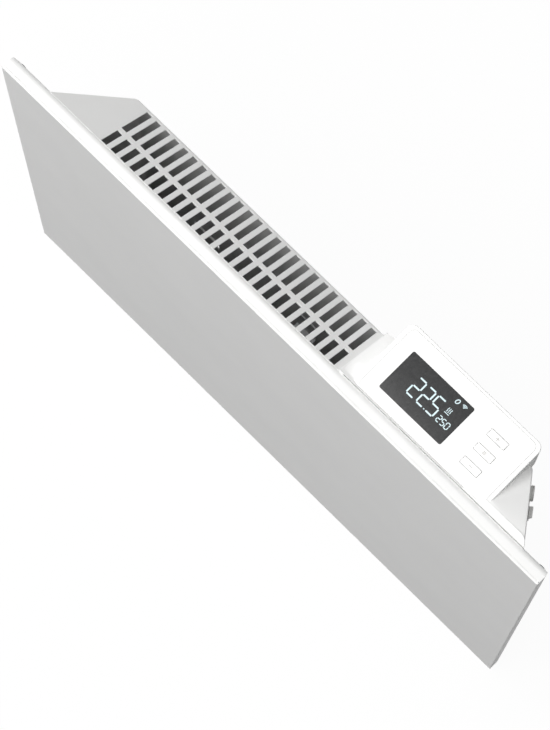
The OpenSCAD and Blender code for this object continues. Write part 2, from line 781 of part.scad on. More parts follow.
module control_housing() {
    color("whitesmoke") difference() {
        union() {
            house_body(x_house0, x_shoulder, y_house0, z_house, 0);
            pod_outside();
            // Ledge at the height of the panel's top edge
            along_z(z_top - ledge_h, z_top) polygon(rounded([[x_cap, y_house0], [x_house1, y_house0],
                [x_house1 - ledge_l * tan(house_angle), y_house0 + ledge_l], [x_cap, y_house0 + ledge_l]],
                [0, house_corner / 2, ledge_r, 0]));
        }
        // Fit over the pan
        intersection() {
            pan_body(y_flange - over, fit);
            union() {
                box([-x_right, y_front, z_bottom], [x_cut + fit, 0, z_top + over]);
                box([-x_right, y_front, z_bottom], [x_right, 0, z_cut + fit]);
            }
        }
        box([-x_right, y_front, z_bottom], [x_right, y_flange + fit / 3, z_top - flange_drop + fit]);
        // Cavity
        difference() {
            union() {
                house_body(x_cut + fit + housing_wall, x_shoulder + housing_wall, y_cavity, z_cavity,
                    -housing_wall);
                box([x_pod + housing_wall, y_cavity, z_top - pod_drop + housing_wall],
                    [x_pod + pod_w - housing_wall, y_house0 + pod_l - housing_wall - pod_chamfer / 2,
                    z_top + housing_h]);
            }
            above_cap(-cap_t - seat_t);
        }
        // Opening and recess for the cap
        on_cap() {
            translate([0, 0, -2 * cap_t - seat_t]) linear_extrude(4 * cap_t)
                polygon(rect(cap_w - 2 * cap_seat, cap_l - 2 * cap_seat, cap_corner - cap_seat));
            translate([0, 0, -cap_t]) linear_extrude(2 * cap_t)
                polygon(rect(cap_w + 2 * cap_gap, cap_l + 2 * cap_gap, cap_corner + cap_gap));
        }
        // Terminal cover's opening and seat
        box([x_cover0 + 2 * cover_lap, y_house1 - housing_h / 2, z_cover + cover_lap],
            [x_cover1 - 2 * cover_lap, y_house1 + over, z_cover + cover_h - cover_lap]);
        box([x_cover0 - fit / 2, y_house1 - cover_t, z_cover - fit / 2],
            [x_cover1 + fit / 2, y_house1 + over, z_cover + cover_h + fit / 2]);
        at_cover_screws() cylinder(h = deep, r = small_r + thread_fit, center = true);
        at_house_screws() cylinder(h = deep, r = small_r + thread_fit, center = true);
        // Switch, cable entry, sensor and wires
        on_side(switch_along) translate([-switch_in, bezel_rim - bezel_w / 2, bezel_rim - bezel_h / 2])
            cube([2 * switch_in, bezel_w - 2 * bezel_rim, bezel_h - 2 * bezel_rim]);
        on_side(gland_along) rotate([0, 90, 0])
            cylinder(h = 2 * gland_in, r = gland_shank + thread_fit, center = true);
        at_sensor() cylinder(h = housing_h, r = sensor_r + thread_fit, center = true);
        translate([x_riser, y_riser, z_cut]) cylinder(h = house_overlap, r = riser_r, center = true);
        translate([x_earth, y_riser, z_cut]) cylinder(h = house_overlap, r = riser_r / 2, center = true);
    }
    // Standoffs for the power board
    color("whitesmoke") at_power_screws() difference() {
        translate([0, 0, -board_t - standoff_h - housing_wall / 2])
            cylinder(h = standoff_h + housing_wall / 2, r = standoff_r);
        translate([0, 0, -small_l]) cylinder(h = small_l, r = small_r + thread_fit);
    }
}
module housing_screws() {
    color("silver") at_house_screws()
        screw(small_r, housing_behind + pan_sheet + 2 * small_r, small_head_r, small_head_h);
}
module terminal_cover() {
    color("whitesmoke") difference() {
        box([x_cover0, y_house1 - cover_t, z_cover], [x_cover1, y_house1, z_cover + cover_h]);
        at_cover_screws() cylinder(h = through, r = small_r + fit, center = true);
    }
}
module cover_screws() {
    color("silver") at_cover_screws() screw(small_r, small_l - housing_wall, small_head_r, small_head_h);
}

// Places of the board screws under the cap, and of the keys
module at_board_posts() {
    for (x = [-board_w / 2 + post_inset, board_w / 2 - post_inset])
        for (y = [-board_l / 2 + post_inset, board_l / 2 - post_inset])
            translate([x, y, 0]) children();
}
module at_key(i) { on_cap() translate([x_keys, y_keys + i * key_pitch, 0]) children(); }

module control_cap() {
    color("white") {
        difference() {
            on_cap() translate([0, 0, -cap_t]) linear_extrude(cap_t)
                polygon(rect(cap_w, cap_l, cap_corner));
            on_cap() translate([x_window, y_window, 0]) {
                translate([0, 0, -window_t]) linear_extrude(window_t + over)
                    polygon(rect(window_w, window_l, window_corner));
                translate([0, 0, -2 * cap_t]) linear_extrude(3 * cap_t)
                    polygon(rect(window_w - 2 * window_ledge, window_l - 2 * window_ledge, window_corner));
            }
            for (i = [0 : 2]) at_key(i) translate([0, 0, -2 * cap_t]) linear_extrude(3 * cap_t)
                polygon(rect(key_w, key_l, key_corner));
        }
        on_cap() at_board_posts() difference() {
            translate([0, 0, z_board]) cylinder(h = -z_board - cap_t, r = post_r);
            translate([0, 0, z_board - over]) cylinder(h = small_l, r = small_r + thread_fit);
        }
    }
}
module display_window() {
    color("black") on_cap() translate([x_window, y_window, -window_t]) linear_extrude(window_t)
        polygon(rect(window_w - 2 * window_fit, window_l - 2 * window_fit, window_corner - window_fit));
}
module display_module() {
    frame = window_ledge + 2 * window_fit;
    foot = 2;
    color("dimgray") on_cap() translate([x_window, y_window, z_board]) {
        linear_extrude(-z_board - window_t - window_fit)
            polygon(rect(window_w - 2 * frame, window_l - 2 * frame, window_corner));
        linear_extrude(-z_board - cap_t - fit)
            polygon(rect(window_w - 2 * frame + foot, window_l - 2 * frame + foot, window_corner));
    }
}
ribbon_w = 14;
ribbon_t = 0.8;
x_ribbon = x_cap - pod_w / 8;
y_ribbon = y_parts + header_l / 2;
module display_board() {
    color("darkgreen") on_cap() difference() {
        translate([0, 0, z_board - board_t]) linear_extrude(board_t)
            polygon(rect(board_w, board_l, window_corner));
        at_board_posts() translate([0, 0, z_board])
            cylinder(h = through, r = small_r + fit / 2, center = true);
    }
}
module board_screws() {
    color("silver") on_cap() at_board_posts() translate([0, 0, z_board - board_t]) mirror([0, 0, 1])
        screw(small_r, board_screw_l, small_head_r, small_head_h);
}
module key_switches() {
    color("dimgray") for (i = [0 : 2]) at_key(i) {
        translate([-key_switch_w / 2, -key_switch_w / 2, z_board])
            cube([key_switch_w, key_switch_w, key_switch_h]);
        translate([0, 0, z_board + key_switch_h]) cylinder(h = plunger_h, r = plunger_r);
    }
}

// One key: its top in the cap's opening, a skirt under the cap, and a stem over its switch
module key_body(i) {
    z_skirt = -cap_t - key_under;
    color("white") at_key(i) difference() {
        union() {
            translate([0, 0, z_skirt]) linear_extrude(key_proud - z_skirt)
                polygon(rect(key_w - 2 * key_gap, key_l - 2 * key_gap, key_corner - key_gap));
            translate([0, 0, z_skirt - key_skirt_t]) linear_extrude(key_skirt_t)
                polygon(rect(key_w + 2 * key_skirt, key_l + 2 * key_skirt, key_corner));
            translate([0, 0, z_skirt - key_skirt_t - key_stem])
                cylinder(h = key_stem + key_skirt_t, r = key_stem_r);
        }
        translate([0, 0, key_proud]) children();
    }
}
// Engraved strokes: one bar of a mark, centred at y
mark_w = 2.4;
mark_deep = 0.15;
module bar(y, l) { translate([-l / 2, y - icon_t / 2, -mark_deep]) cube([l, icon_t, over]); }
module key_minus() { key_body(0) bar(0, mark_w); }
module key_menu() { key_body(1) for (k = [-1 : 1]) bar(k * 2 * icon_t, mark_w); }
module key_plus() {
    key_body(2) {
        bar(0, mark_w);
        rotate([0, 0, 90]) bar(0, mark_w);
    }
}

// Power board, upright on standoffs, and the parts on it
module at_power_screws() {
    for (x = [x_power + post_inset, x_power + power_w - post_inset])
        for (z = [z_power - post_inset, z_power - power_h + post_inset])
            translate([x, y_parts, z]) facing_rear() children();
}
module power_board() {
    color("darkgreen") difference() {
        box([x_power, y_power, z_power - power_h], [x_power + power_w, y_parts, z_power]);
        at_power_screws() cylinder(h = through, r = small_r + fit / 2, center = true);
    }
}
module power_board_screws() {
    color("silver") at_power_screws() screw(small_r, board_screw_l, small_head_r, small_head_h);
}
// A box on the power board, dx from its left end and dz below its top
module on_board(dx, dz, size) {
    translate([x_power + dx, y_parts, z_power - dz - size[2]]) cube(size);
}
part_dx = 2 * post_inset + small_head_r;
relay_dx = part_dx + transformer[0] + part_gap;
terminal_dx = relay_dx + relay[0] + part_gap;
module supply_transformer() {
    core = transformer;
    color("orange") {
        on_board(part_dx, power_h - core[2] - part_gap, core);
        wing = [core[0] / 8, core[1] * 3 / 4, core[2] / 2];
        for (dx = [part_dx - wing[0] / 2, part_dx + core[0] - wing[0] / 2])
            on_board(dx, power_h - part_gap - core[2] * 3 / 4, wing);
    }
}
module power_relay() { color("royalblue") on_board(relay_dx, power_h / 2, relay); }
module terminal_block() {
    poles = 3;
    color("seagreen") difference() {
        on_board(terminal_dx, power_h - terminal[2] - part_gap, terminal);
        for (i = [0 : poles - 1])
            translate([x_power + terminal_dx + terminal[0] * (i + 1 / 2) / poles, y_parts + terminal[1],
                z_power - power_h + part_gap + terminal[2] / 2]) facing_rear()
                cylinder(h = terminal[1], r = small_head_r, center = true);
    }
}
module filter_capacitors() {
    pitch = 2 * capacitor_r + part_gap;
    color("navy") for (i = [0, 1])
        translate([x_power + terminal_dx + capacitor_r + part_gap + i * pitch, y_parts,
            z_power - post_inset - small_head_r - capacitor_r]) facing_rear()
            cylinder(h = capacitor_h, r = capacitor_r);
}
module panel_ribbon() {
    z_low = z_power - header_h - part_gap;
    z_high = z_cap + (y_ribbon - y_cap) * tan(cap_tilt) + (z_board - board_t) / cos(cap_tilt);
    color("lightgray") translate([x_ribbon, 0, 0]) {
        box([-ribbon_w / 2, y_parts, z_low - header_h], [ribbon_w / 2, y_parts + header_l, z_low]);
        box([-ribbon_w / 2, y_ribbon - ribbon_t / 2, z_low],
            [ribbon_w / 2, y_ribbon + ribbon_t / 2, z_high - fit / 3]);
    }
}

// Rocker switch in the right wall, its long side upright
rocker_wall = 1.2;
rocker_gap = 0.35;
rocker_slack = 0.9;
rocker_dish = 1.2;
pocket_w = bezel_w - 2 * bezel_rim - 2 * rocker_wall;
pocket_h = bezel_h - 2 * bezel_rim - 2 * rocker_wall;
module switch_body() {
    body_w = bezel_w - 2 * bezel_rim - fit;
    body_h = bezel_h - 2 * bezel_rim - fit;
    color("whitesmoke") on_side(switch_along) {
        difference() {
            union() {
                translate([-switch_in, -body_w / 2, -body_h / 2]) cube([switch_in, body_w, body_h]);
                rotate([90, 0, 90]) linear_extrude(bezel_t) polygon(rect(bezel_w, bezel_h, bezel_rim));
            }
            translate([-switch_in / 2, -pocket_w / 2, -pocket_h / 2]) cube([switch_in, pocket_w, pocket_h]);
            rotate([90, 0, 0])
                cylinder(h = pocket_w + 2 * pivot_in, r = pivot_r + pivot_fit, center = true);
        }
        for (k = [-1, 1])
            translate([-switch_in - tab_l, -tab_w / 2, k * body_h / 4]) cube([tab_l, tab_w, tab_t]);
    }
}
module switch_rocker() {
    w = pocket_w - 2 * rocker_gap;
    h = pocket_h / 2 - rocker_gap - rocker_slack;
    color("white") on_side(switch_along) rotate([0, rocker_swing / 2, 0]) {
        rotate([90, 0, 0]) linear_extrude(w, center = true) polygon([
            [-rocker_r / 2, -h / 2], [-rocker_r / 2, h / 2], [bezel_t, h], [bezel_t + rocker_out, h],
            [bezel_t + rocker_dish, 0], [bezel_t + rocker_out, -h], [bezel_t, -h]]);
        rotate([90, 0, 0]) cylinder(h = pocket_w + 2 * pivot_in - fit, r = pivot_r, center = true);
    }
}

// Snap-in cable entry with a ribbed head, and its nut inside the wall
module cable_gland() {
    ribs = 4;
    groove = 0.5;
    step = gland_out / (2 * ribs);
    color("whitesmoke") on_side(gland_along) rotate([0, 90, 0]) rotate_extrude() polygon(concat(
        [[gland_bore, -gland_in], [gland_shank, -gland_in], [gland_shank, 0], [gland_head, 0]],
        [for (i = [0 : ribs - 1]) let (z = (2 * i + 1) * step)
            each [[gland_head, z], [gland_head - groove, z], [gland_head - groove, z + step],
            [gland_head - groove * (i + 1) / 2, z + step]]],
        [[gland_bore, gland_out]]));
}
module gland_nut() {
    color("whitesmoke") on_side(gland_along) rotate([0, 90, 0]) translate([0, 0, -housing_wall - nut_h])
        difference() {
            cylinder(h = nut_h, r = nut_r, $fn = 6);
            cylinder(h = deep, r = gland_shank + thread_fit, center = true);
        }
}

// Room sensor in the housing's floor, outside the pan, and its lead
sensor_r = 2.4;
sensor_flange = 3.4;
sensor_flange_t = 1;
sensor_out = 5;
sensor_along = 18;
sensor_in = 8;
module at_sensor() {
    on_side(sensor_along) translate([-sensor_in, 0, z_house - z_side]) children();
}
module room_sensor() {
    color("black") at_sensor() {
        translate([0, 0, -sensor_out])
            cylinder(h = z_cavity - z_house + sensor_out + sensor_flange_t, r = sensor_r);
        translate([0, 0, -sensor_flange_t]) cylinder(h = sensor_flange_t, r = sensor_flange);
    }
}

// Earth stud on the pan's rear wall, with its nut
earth_from_riser = 20;
x_earth = x_riser + earth_from_riser;
z_earth = (z_house + rail_h / 2) / 2;
earth_l = 10;
earth_nut_h = 2.4;
earth_nut_r = 3.4;
module at_earth() { translate([x_earth, y_pan, z_earth]) facing_rear() children(); }
module earth_stud() {
    color("goldenrod") at_earth() {
        screw(small_r, earth_l, small_head_r, small_head_h);
        translate([0, 0, -pan_sheet - earth_nut_h]) cylinder(h = earth_nut_h, r = earth_nut_r, $fn = 6);
    }
}

// Wires inside the heater
bend_out = 8;
z_low_parts = z_power - power_h;
function side_point(along, z) =
    [x_house1 - along * sin(house_angle), y_house0 + along * cos(house_angle), z];
module element_leads() {
    x_pin = element_x1 + rod_out + bracket_t + bush_flange_t + pin_l;
    x_pin0 = element_x0 - rod_out - bracket_t - bush_flange_t - pin_l;
    y_tab = y_inner - clip_off - cutout_t - tab_l;
    z_tab = z_cutout - clip_w / 2;
    z_run = z_element + (cutout_up + fin_h) / 3 + wire_r;
    x_tab0 = x_cutout - cutout_r / 2;
    x_tab1 = x_cutout + cutout_r / 2;
    xa = x_riser - 2 * wire_r;
    xb = x_riser + 2 * wire_r;
    color("firebrick") {
        wire([[x_pin, y_element, z_element], [xb, y_element, z_element], [xb, y_riser, z_cavity + wire_r],
            [xb, y_parts + wire_r, z_low_parts]]);
        wire([[x_pin0, y_element, z_element], [x_pin0 - wire_r, y_element, z_element],
            [x_pin0 - wire_r, y_tab - bend_out, z_run], [x_tab0 - bend_out, y_tab - bend_out, z_run],
            [x_tab0, y_tab - bend_out / 2, z_tab], [x_tab0, y_tab, z_tab]]);
        wire([[x_tab1, y_tab, z_tab], [x_tab1, y_tab - bend_out / 2, z_tab],
            [x_tab1 + bend_out, y_element, grommet_z[1]], [xa, y_element, grommet_z[1]],
            [xa, y_riser, z_cavity + wire_r], [xa, y_parts + wire_r, z_low_parts]]);
    }
}
module switch_leads() {
    body_h = bezel_h - 2 * bezel_rim - fit;
    inward = [-cos(house_angle), -sin(house_angle), 0];
    for (k = [-1, 1]) {
        p = side_point(switch_along, z_side + k * body_h / 4 + tab_t / 2) + inward * (switch_in + tab_l);
        q = [x_power + terminal_dx + terminal[0] * (2 + k) / 4, y_parts + terminal[1] / 2,
            z_low_parts + part_gap + terminal[2]];
        color("firebrick") wire([p, p + inward * bend_out / 4, q + [0, 0, bend_out / 2], q]);
    }
}
module sensor_lead() {
    p = side_point(sensor_along, z_cavity + sensor_flange_t)
        - sensor_in * [cos(house_angle), sin(house_angle), 0];
    q = [x_power + power_w - part_gap, y_parts, p[2] + 2 * bend_out];
    color("gray") wire([p, p + [0, 0, bend_out], q + [0, bend_out / 2, 0], q]);
}
module earth_lead() {
    y_ring = y_pan - pan_sheet - earth_l;
    x_terminal = x_power + terminal_dx + terminal[0] / 2;
    color("yellowgreen") wire([[x_earth, y_ring, z_earth], [x_earth, y_ring - wire_r, z_earth],
        [x_earth, y_riser, z_earth + bend_out], [x_earth, y_riser, z_cavity + wire_r],
        [x_terminal, y_parts + terminal[1] / 2, z_low_parts],
        [x_terminal, y_parts + terminal[1] / 2, z_low_parts + part_gap]]);
}

// Wall rail: back plate, two flanges, four hooks and four screw holes
module wall_rail() {
    y_hook = -rail_depth - hook_reach;
    color("white") difference() {
        union() {
            box([-rail_w / 2, -rail_sheet, -rail_h / 2], [rail_w / 2, 0, rail_h / 2]);
            for (z = [-rail_h / 2, rail_h / 2 - rail_sheet]) {
                box([-rail_w / 2, -rail_depth, z], [rail_w / 2, 0, z + rail_sheet]);
                both_sides() {
                    box([hook_span / 2 - hook_w / 2, y_hook, z],
                        [hook_span / 2 + hook_w / 2, 0, z + rail_sheet]);
                    box([hook_span / 2 - hook_w / 2, y_hook, z],
                        [hook_span / 2 + hook_w / 2, y_hook + rail_sheet, z + rail_sheet + hook_tip]);
                }
            }
        }
        for (x = [-wall_hole_dx / 2, wall_hole_dx / 2]) for (z = [-wall_hole_dz / 2, wall_hole_dz / 2])
            translate([x, 0, z]) rotate([90, 0, 0]) cylinder(h = through, r = wall_hole_r, center = true);
    }
}

// Spacers that keep the bottom of the heater off the wall
module at_spacers() {
    both_sides() translate([spacer_x, y_pan, z_bottom + spacer_up]) facing_rear() children();
}
module wall_spacers() {
    snap = 0.5;
    color("white") at_spacers() {
        difference() {
            cylinder(h = -y_pan, r = spacer_r);
            translate([0, 0, spacer_wall])
                cylinder(h = -y_pan - 2 * spacer_wall, r = spacer_r - spacer_wall);
        }
        translate([0, 0, -pan_sheet - fit]) cylinder(h = pan_sheet + fit, r = spacer_stem_r);
        translate([0, 0, -pan_sheet - fit - spacer_wall])
            cylinder(h = spacer_wall, r = spacer_stem_r + snap);
    }
}

front_panel();
rear_pan();
panel_screws();
heat_shield();
shield_rivets();
element_fins();
element_rod();
element_bushes();
element_brackets();
bracket_rivets();
thermal_cutout();
cutout_bracket();
electrics_partition();
partition_grommets();
control_housing();
housing_screws();
terminal_cover();
cover_screws();
control_cap();
display_window();
display_module();
display_board();
board_screws();
key_switches();
key_minus();
key_menu();
key_plus();
power_board();
power_board_screws();
supply_transformer();
power_relay();
terminal_block();
filter_capacitors();
switch_body();
switch_rocker();
cable_gland();
gland_nut();
room_sensor();
element_leads();
switch_leads();
sensor_lead();
earth_stud();
earth_lead();
panel_ribbon();
wall_rail();
wall_spacers();
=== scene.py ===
import math

import bpy
from mathutils import Matrix, Vector


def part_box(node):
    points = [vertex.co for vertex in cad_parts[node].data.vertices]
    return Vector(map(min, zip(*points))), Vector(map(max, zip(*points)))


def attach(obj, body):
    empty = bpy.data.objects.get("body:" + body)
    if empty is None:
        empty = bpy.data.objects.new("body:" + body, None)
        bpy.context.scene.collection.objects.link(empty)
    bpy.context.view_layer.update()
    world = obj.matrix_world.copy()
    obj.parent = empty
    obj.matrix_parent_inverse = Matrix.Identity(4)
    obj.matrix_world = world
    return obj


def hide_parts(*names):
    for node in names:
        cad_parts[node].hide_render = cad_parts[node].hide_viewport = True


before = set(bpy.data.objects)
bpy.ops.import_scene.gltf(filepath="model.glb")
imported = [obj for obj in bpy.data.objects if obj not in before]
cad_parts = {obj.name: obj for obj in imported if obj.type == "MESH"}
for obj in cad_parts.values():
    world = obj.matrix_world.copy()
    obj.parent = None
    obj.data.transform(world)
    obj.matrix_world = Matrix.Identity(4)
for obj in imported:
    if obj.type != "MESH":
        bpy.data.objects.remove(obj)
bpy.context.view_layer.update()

# The camera looks steeply down on the hung heater from in front of it, slightly rolled.
# Its place and turn were fitted to the panel's corners; the shift is zero.
MM = 0.001
camera_data = bpy.data.cameras.new("camera")
sensor_long, photo_long, focal_pixels = 36.0, 730.0, 2749.29
camera_data.sensor_width = sensor_long
camera_data.lens = focal_pixels * sensor_long / photo_long
camera_data.clip_start = 0.05
camera = bpy.data.objects.new("camera", camera_data)
bpy.context.scene.collection.objects.link(camera)
view_right = Vector((0.70660887, 0.70758825, 0.00477243))
view_down = Vector((0.68592043, -0.68328303, -0.25027479))
view_forward = Vector((-0.17383058, 0.18011989, -0.96816308))
turn = Matrix((view_right, -view_down, -view_forward)).transposed().to_4x4()
camera.matrix_world = Matrix.Translation(Vector((361.75, -446.53, 2031.81)) * MM) @ turn
bpy.context.scene.camera = camera

# A pale floor just under the panel, in a white room. Camera, glossy and transmission rays see the
# floor and the room white; the heater is lit by a dim even sky, a wide key lamp high in front, a
# low lamp on the left, and the light that the floor throws back.
bpy.ops.object.select_all(action="DESELECT")


def linear(code):
    """sRGB hex to linear RGBA."""
    parts = [int(code[i:i + 2], 16) / 255 for i in (1, 3, 5)]
    return [c / 12.92 if c <= 0.04045 else ((c + 0.055) / 1.055) ** 2.4 for c in parts] + [1.0]


def add_node(tree, kind, settings=None, links=None):
    """Adds a node, sets its properties and inputs by name, and links its inputs."""
    node = tree.nodes.new(kind)
    for name, value in (settings or {}).items():
        if str(name) in node.bl_rna.properties:
            setattr(node, name, value)
        else:
            node.inputs[name].default_value = value
    for name, source in (links or {}).items():
        tree.links.new(source, node.inputs[name])
    return node


def seen_white(tree):
    """1 for rays that come from the camera or through a glossy or clear surface, else 0."""
    path = add_node(tree, "ShaderNodeLightPath")
    either = add_node(tree, "ShaderNodeMath", {"operation": "ADD"},
                      {0: path.outputs["Is Camera Ray"], 1: path.outputs["Is Glossy Ray"]})
    return add_node(tree, "ShaderNodeMath", {"operation": "ADD", "use_clamp": True},
                    {0: either.outputs[0], 1: path.outputs["Is Transmission Ray"]}).outputs[0]


floor_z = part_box("front_panel")[0].z
bpy.ops.mesh.primitive_plane_add(size=12.0, location=(0.0, 0.0, floor_z - 0.5 * MM))
floor = bpy.context.object
floor.name = "studio_floor"
floor_paint = bpy.data.materials.new("pale_studio_floor")
floor_paint.use_nodes = True
tree = floor_paint.node_tree
tree.nodes.clear()
seen = seen_white(tree)
share = add_node(tree, "ShaderNodeMath", {"operation": "MULTIPLY", 1: 0.95}, {0: seen})
tone = add_node(tree, "ShaderNodeMix", {"data_type": "RGBA"}, {0: seen})
tone.inputs[6].default_value, tone.inputs[7].default_value = linear("#707070"), linear("#F4F4F4")
pale = add_node(tree, "ShaderNodeBsdfDiffuse", None, {"Color": tone.outputs[2]})
white = add_node(tree, "ShaderNodeEmission", {"Strength": 1.0})
mixed = add_node(tree, "ShaderNodeMixShader", None,
                 {0: share.outputs[0], 1: pale.outputs[0], 2: white.outputs[0]})
add_node(tree, "ShaderNodeOutputMaterial", None, {"Surface": mixed.outputs[0]})
floor.data.materials.append(floor_paint)

world = bpy.data.worlds.new("white_room")
bpy.context.scene.world = world
world.use_nodes = True
tree = world.node_tree
tree.nodes.clear()
dim = add_node(tree, "ShaderNodeBackground", {"Color": (1.0, 1.0, 1.0, 1.0), "Strength": 0.1})
bright = add_node(tree, "ShaderNodeBackground", {"Color": (1.0, 1.0, 1.0, 1.0), "Strength": 1.0})
mixed = add_node(tree, "ShaderNodeMixShader", None,
                 {0: seen_white(tree), 1: dim.outputs[0], 2: bright.outputs[0]})
add_node(tree, "ShaderNodeOutputWorld", None, {"Surface": mixed.outputs[0]})

aim = Vector((0.0, -0.05, 0.0))
for name, place, size, power in (
        ("key_lamp", (-0.2, -1.0, 2.75), 2.4, 89.0),
        ("left_lamp", (-2.4, -0.2, 0.5), 1.2, 42.0)):
    lamp_data = bpy.data.lights.new(name, "AREA")
    lamp_data.shape = "SQUARE"
    lamp_data.size = size
    lamp_data.energy = power
    lamp = bpy.data.objects.new(name, lamp_data)
    bpy.context.scene.collection.objects.link(lamp)
    lamp.location = place
    lamp.rotation_euler = (aim - Vector(place)).to_track_quat("-Z", "Y").to_euler()

# Front panel. One sheet of 1.2 mm cold-rolled steel: its four edges are folded back, rolled in to a
# flat hem that the rear pan is screwed to, and mitred at the corners. A fine fold line runs round
# it just behind the face. Powder coated satin white.


def start_box(name, low, high):
    """Adds a box between two corners given in mm and leaves it active."""
    low, high = Vector(low), Vector(high)
    bpy.ops.object.select_all(action="DESELECT")
    bpy.ops.mesh.primitive_cube_add(size=1.0, location=(low + high) / 2 * MM, scale=(high - low) * MM)
    bpy.ops.object.transform_apply(location=True, rotation=True, scale=True)
    bpy.context.object.name = name
    return bpy.context.object


def make_active(piece):
    if bpy.context.object and bpy.context.object.mode != "OBJECT":
        bpy.ops.object.mode_set(mode="OBJECT")
    bpy.ops.object.select_all(action="DESELECT")
    piece.select_set(True)
    bpy.context.view_layer.objects.active = piece


def pick(piece, kind, test):
    """Enters edit mode with those faces or edges selected whose middle, in mm, and normal or
    direction pass the test."""
    make_active(piece)
    mesh = piece.data
    for group in (mesh.vertices, mesh.edges, mesh.polygons):
        group.foreach_set("select", [False] * len(group))
    if kind == "FACE":
        for face in mesh.polygons:
            face.select = bool(test(face.center / MM, face.normal))
    else:
        for edge in mesh.edges:
            a, b = (mesh.vertices[i].co for i in edge.vertices)
            edge.select = bool(test((a + b) / 2 / MM, (b - a).normalized()))
    bpy.context.tool_settings.mesh_select_mode = (False, kind == "EDGE", kind == "FACE")
    bpy.ops.object.mode_set(mode="EDIT")


def round_edges(piece, test, offset, segments=6):
    """Bevels the edges that pass the test, offset in mm."""
    pick(piece, "EDGE", test)
    bpy.ops.mesh.bevel(offset=offset * MM, segments=segments, affect="EDGES")
    bpy.ops.object.mode_set(mode="OBJECT")


def apply_modifier(piece, kind, **settings):
    make_active(piece)
    modifier = piece.modifiers.new("shape", kind)
    for name, value in settings.items():
        setattr(modifier, name, value)
    bpy.ops.object.modifier_apply(modifier=modifier.name)


def carve(piece, other, operation="DIFFERENCE"):
    """Cuts the other solid out of the piece, or adds it to it, and deletes the other."""
    apply_modifier(piece, "BOOLEAN", operation=operation, solver="EXACT", object=other)
    mesh = other.data
    bpy.data.objects.remove(other)
    bpy.data.meshes.remove(mesh)


def grained_finish(name, dark, light, patch, rough, grain, bump, metal=0.0, coat=0.0,
                   stretch=(1.0, 1.0, 1.0)):
    """A paint, plastic or metal surface: its colour drifts between two near tones over patches of
    the given size in mm, and its grain, in mm, lifts it by bump mm."""
    material = bpy.data.materials.new(name)
    material.use_nodes = True
    tree = material.node_tree
    shader = tree.nodes["Principled BSDF"]
    place = add_node(tree, "ShaderNodeTexCoord").outputs["Object"]
    place = add_node(tree, "ShaderNodeMapping", {"Scale": stretch}, {"Vector": place}).outputs[0]
    drift = add_node(tree, "ShaderNodeTexNoise", {"Scale": 1 / (patch * MM), "Detail": 3.0},
                     {"Vector": place})
    tone = add_node(tree, "ShaderNodeValToRGB", None, {"Fac": drift.outputs[0]})
    tone.color_ramp.elements[0].position, tone.color_ramp.elements[1].position = 0.3, 0.7
    tone.color_ramp.elements[0].color, tone.color_ramp.elements[1].color = linear(dark), linear(light)
    tree.links.new(tone.outputs[0], shader.inputs["Base Color"])
    fine = add_node(tree, "ShaderNodeTexNoise", {"Scale": 1 / (grain * MM), "Detail": 4.0}, {"Vector": place})
    lift = add_node(tree, "ShaderNodeBump", {"Strength": 1.0, "Distance": bump * MM},
                    {"Height": fine.outputs[0]})
    tree.links.new(lift.outputs[0], shader.inputs["Normal"])
    gloss = add_node(tree, "ShaderNodeMapRange", {"To Min": rough - 0.05, "To Max": rough + 0.05},
                     {"Value": fine.outputs[0]})
    tree.links.new(gloss.outputs[0], shader.inputs["Roughness"])
    shader.inputs["Metallic"].default_value = metal
    shader.inputs["Coat Weight"].default_value = coat
    return material


def fit_piece(piece, body, material, nodes=(), angle=32.0):
    """Finishes a piece: material, smooth shading, the body it rides on and what it stands for."""
    make_active(piece)
    if material is not None:
        piece.data.materials.clear()
        piece.data.materials.append(material)
    bpy.ops.object.shade_smooth_by_angle(angle=math.radians(angle))
    apply_modifier(piece, "WEIGHTED_NORMAL", keep_sharp=True)
    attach(piece, body)
    if nodes:
        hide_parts(*nodes)


def box_mm(node):
    low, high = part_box(node)
    return low / MM, high / MM


# Satin powder coat: fused powder that leaves a fine orange peel, which breaks up the gloss.
panel_coat = grained_finish("panel_powder_coat", "#F0F0EF", "#F3F3F2", 60.0, 0.42, 0.9, 0.006)
panel_low, panel_high = box_mm("front_panel")
panel_hem, hem_in_roll, panel_sheet, panel_bend = 18.0, 3.0, 1.2, 0.5
roll_depth, roll_first, roll_last, roll_steps = 4.3, 4.0, 45.0, 8
panel = start_box("folded_front_panel", panel_low, panel_high - Vector((0.0, roll_depth, 0.0)))
# The rolled rear edges: the rear outline is drawn back in steps, and in by a fall that grows. The
# sides fall half as much as the top and the bottom.
pick(panel, "FACE", lambda c, n: n.y > 0.99)
wide, high = panel_high.x - panel_low.x, panel_high.z - panel_low.z
roll_step = roll_depth / roll_steps
for i in range(roll_steps):
    angle = roll_first + (roll_last - roll_first) * (i + 0.5) / roll_steps
    fall = roll_step * math.tan(math.radians(angle))
    bpy.ops.mesh.extrude_region_move(TRANSFORM_OT_translate={"value": (0.0, roll_step * MM, 0.0)})
    bpy.ops.transform.resize(value=((wide - fall) / wide, 1.0, (high - 2 * fall) / high))
    wide, high = wide - fall, high - 2 * fall
bpy.ops.object.mode_set(mode="OBJECT")
round_edges(panel, lambda c, d: c.y < panel_low.y + 0.1, panel_bend, 4)
pick(panel, "FACE", lambda c, n: n.y > 0.99)
bpy.ops.mesh.inset(thickness=(panel_hem - hem_in_roll) * MM)
bpy.ops.mesh.delete(type="FACE")
fold_line, fold_wide, fold_deep = panel_low.y + 1.9, 0.45, 1.0
for y in (fold_line, fold_line + fold_wide):
    bpy.ops.mesh.select_all(action="SELECT")
    bpy.ops.mesh.bisect(plane_co=(0.0, y * MM, 0.0), plane_no=(0.0, 1.0, 0.0))
pick(panel, "FACE", lambda c, n: fold_line < c.y < fold_line + fold_wide and abs(n.y) < 0.1)
bpy.ops.mesh.extrude_region_move()
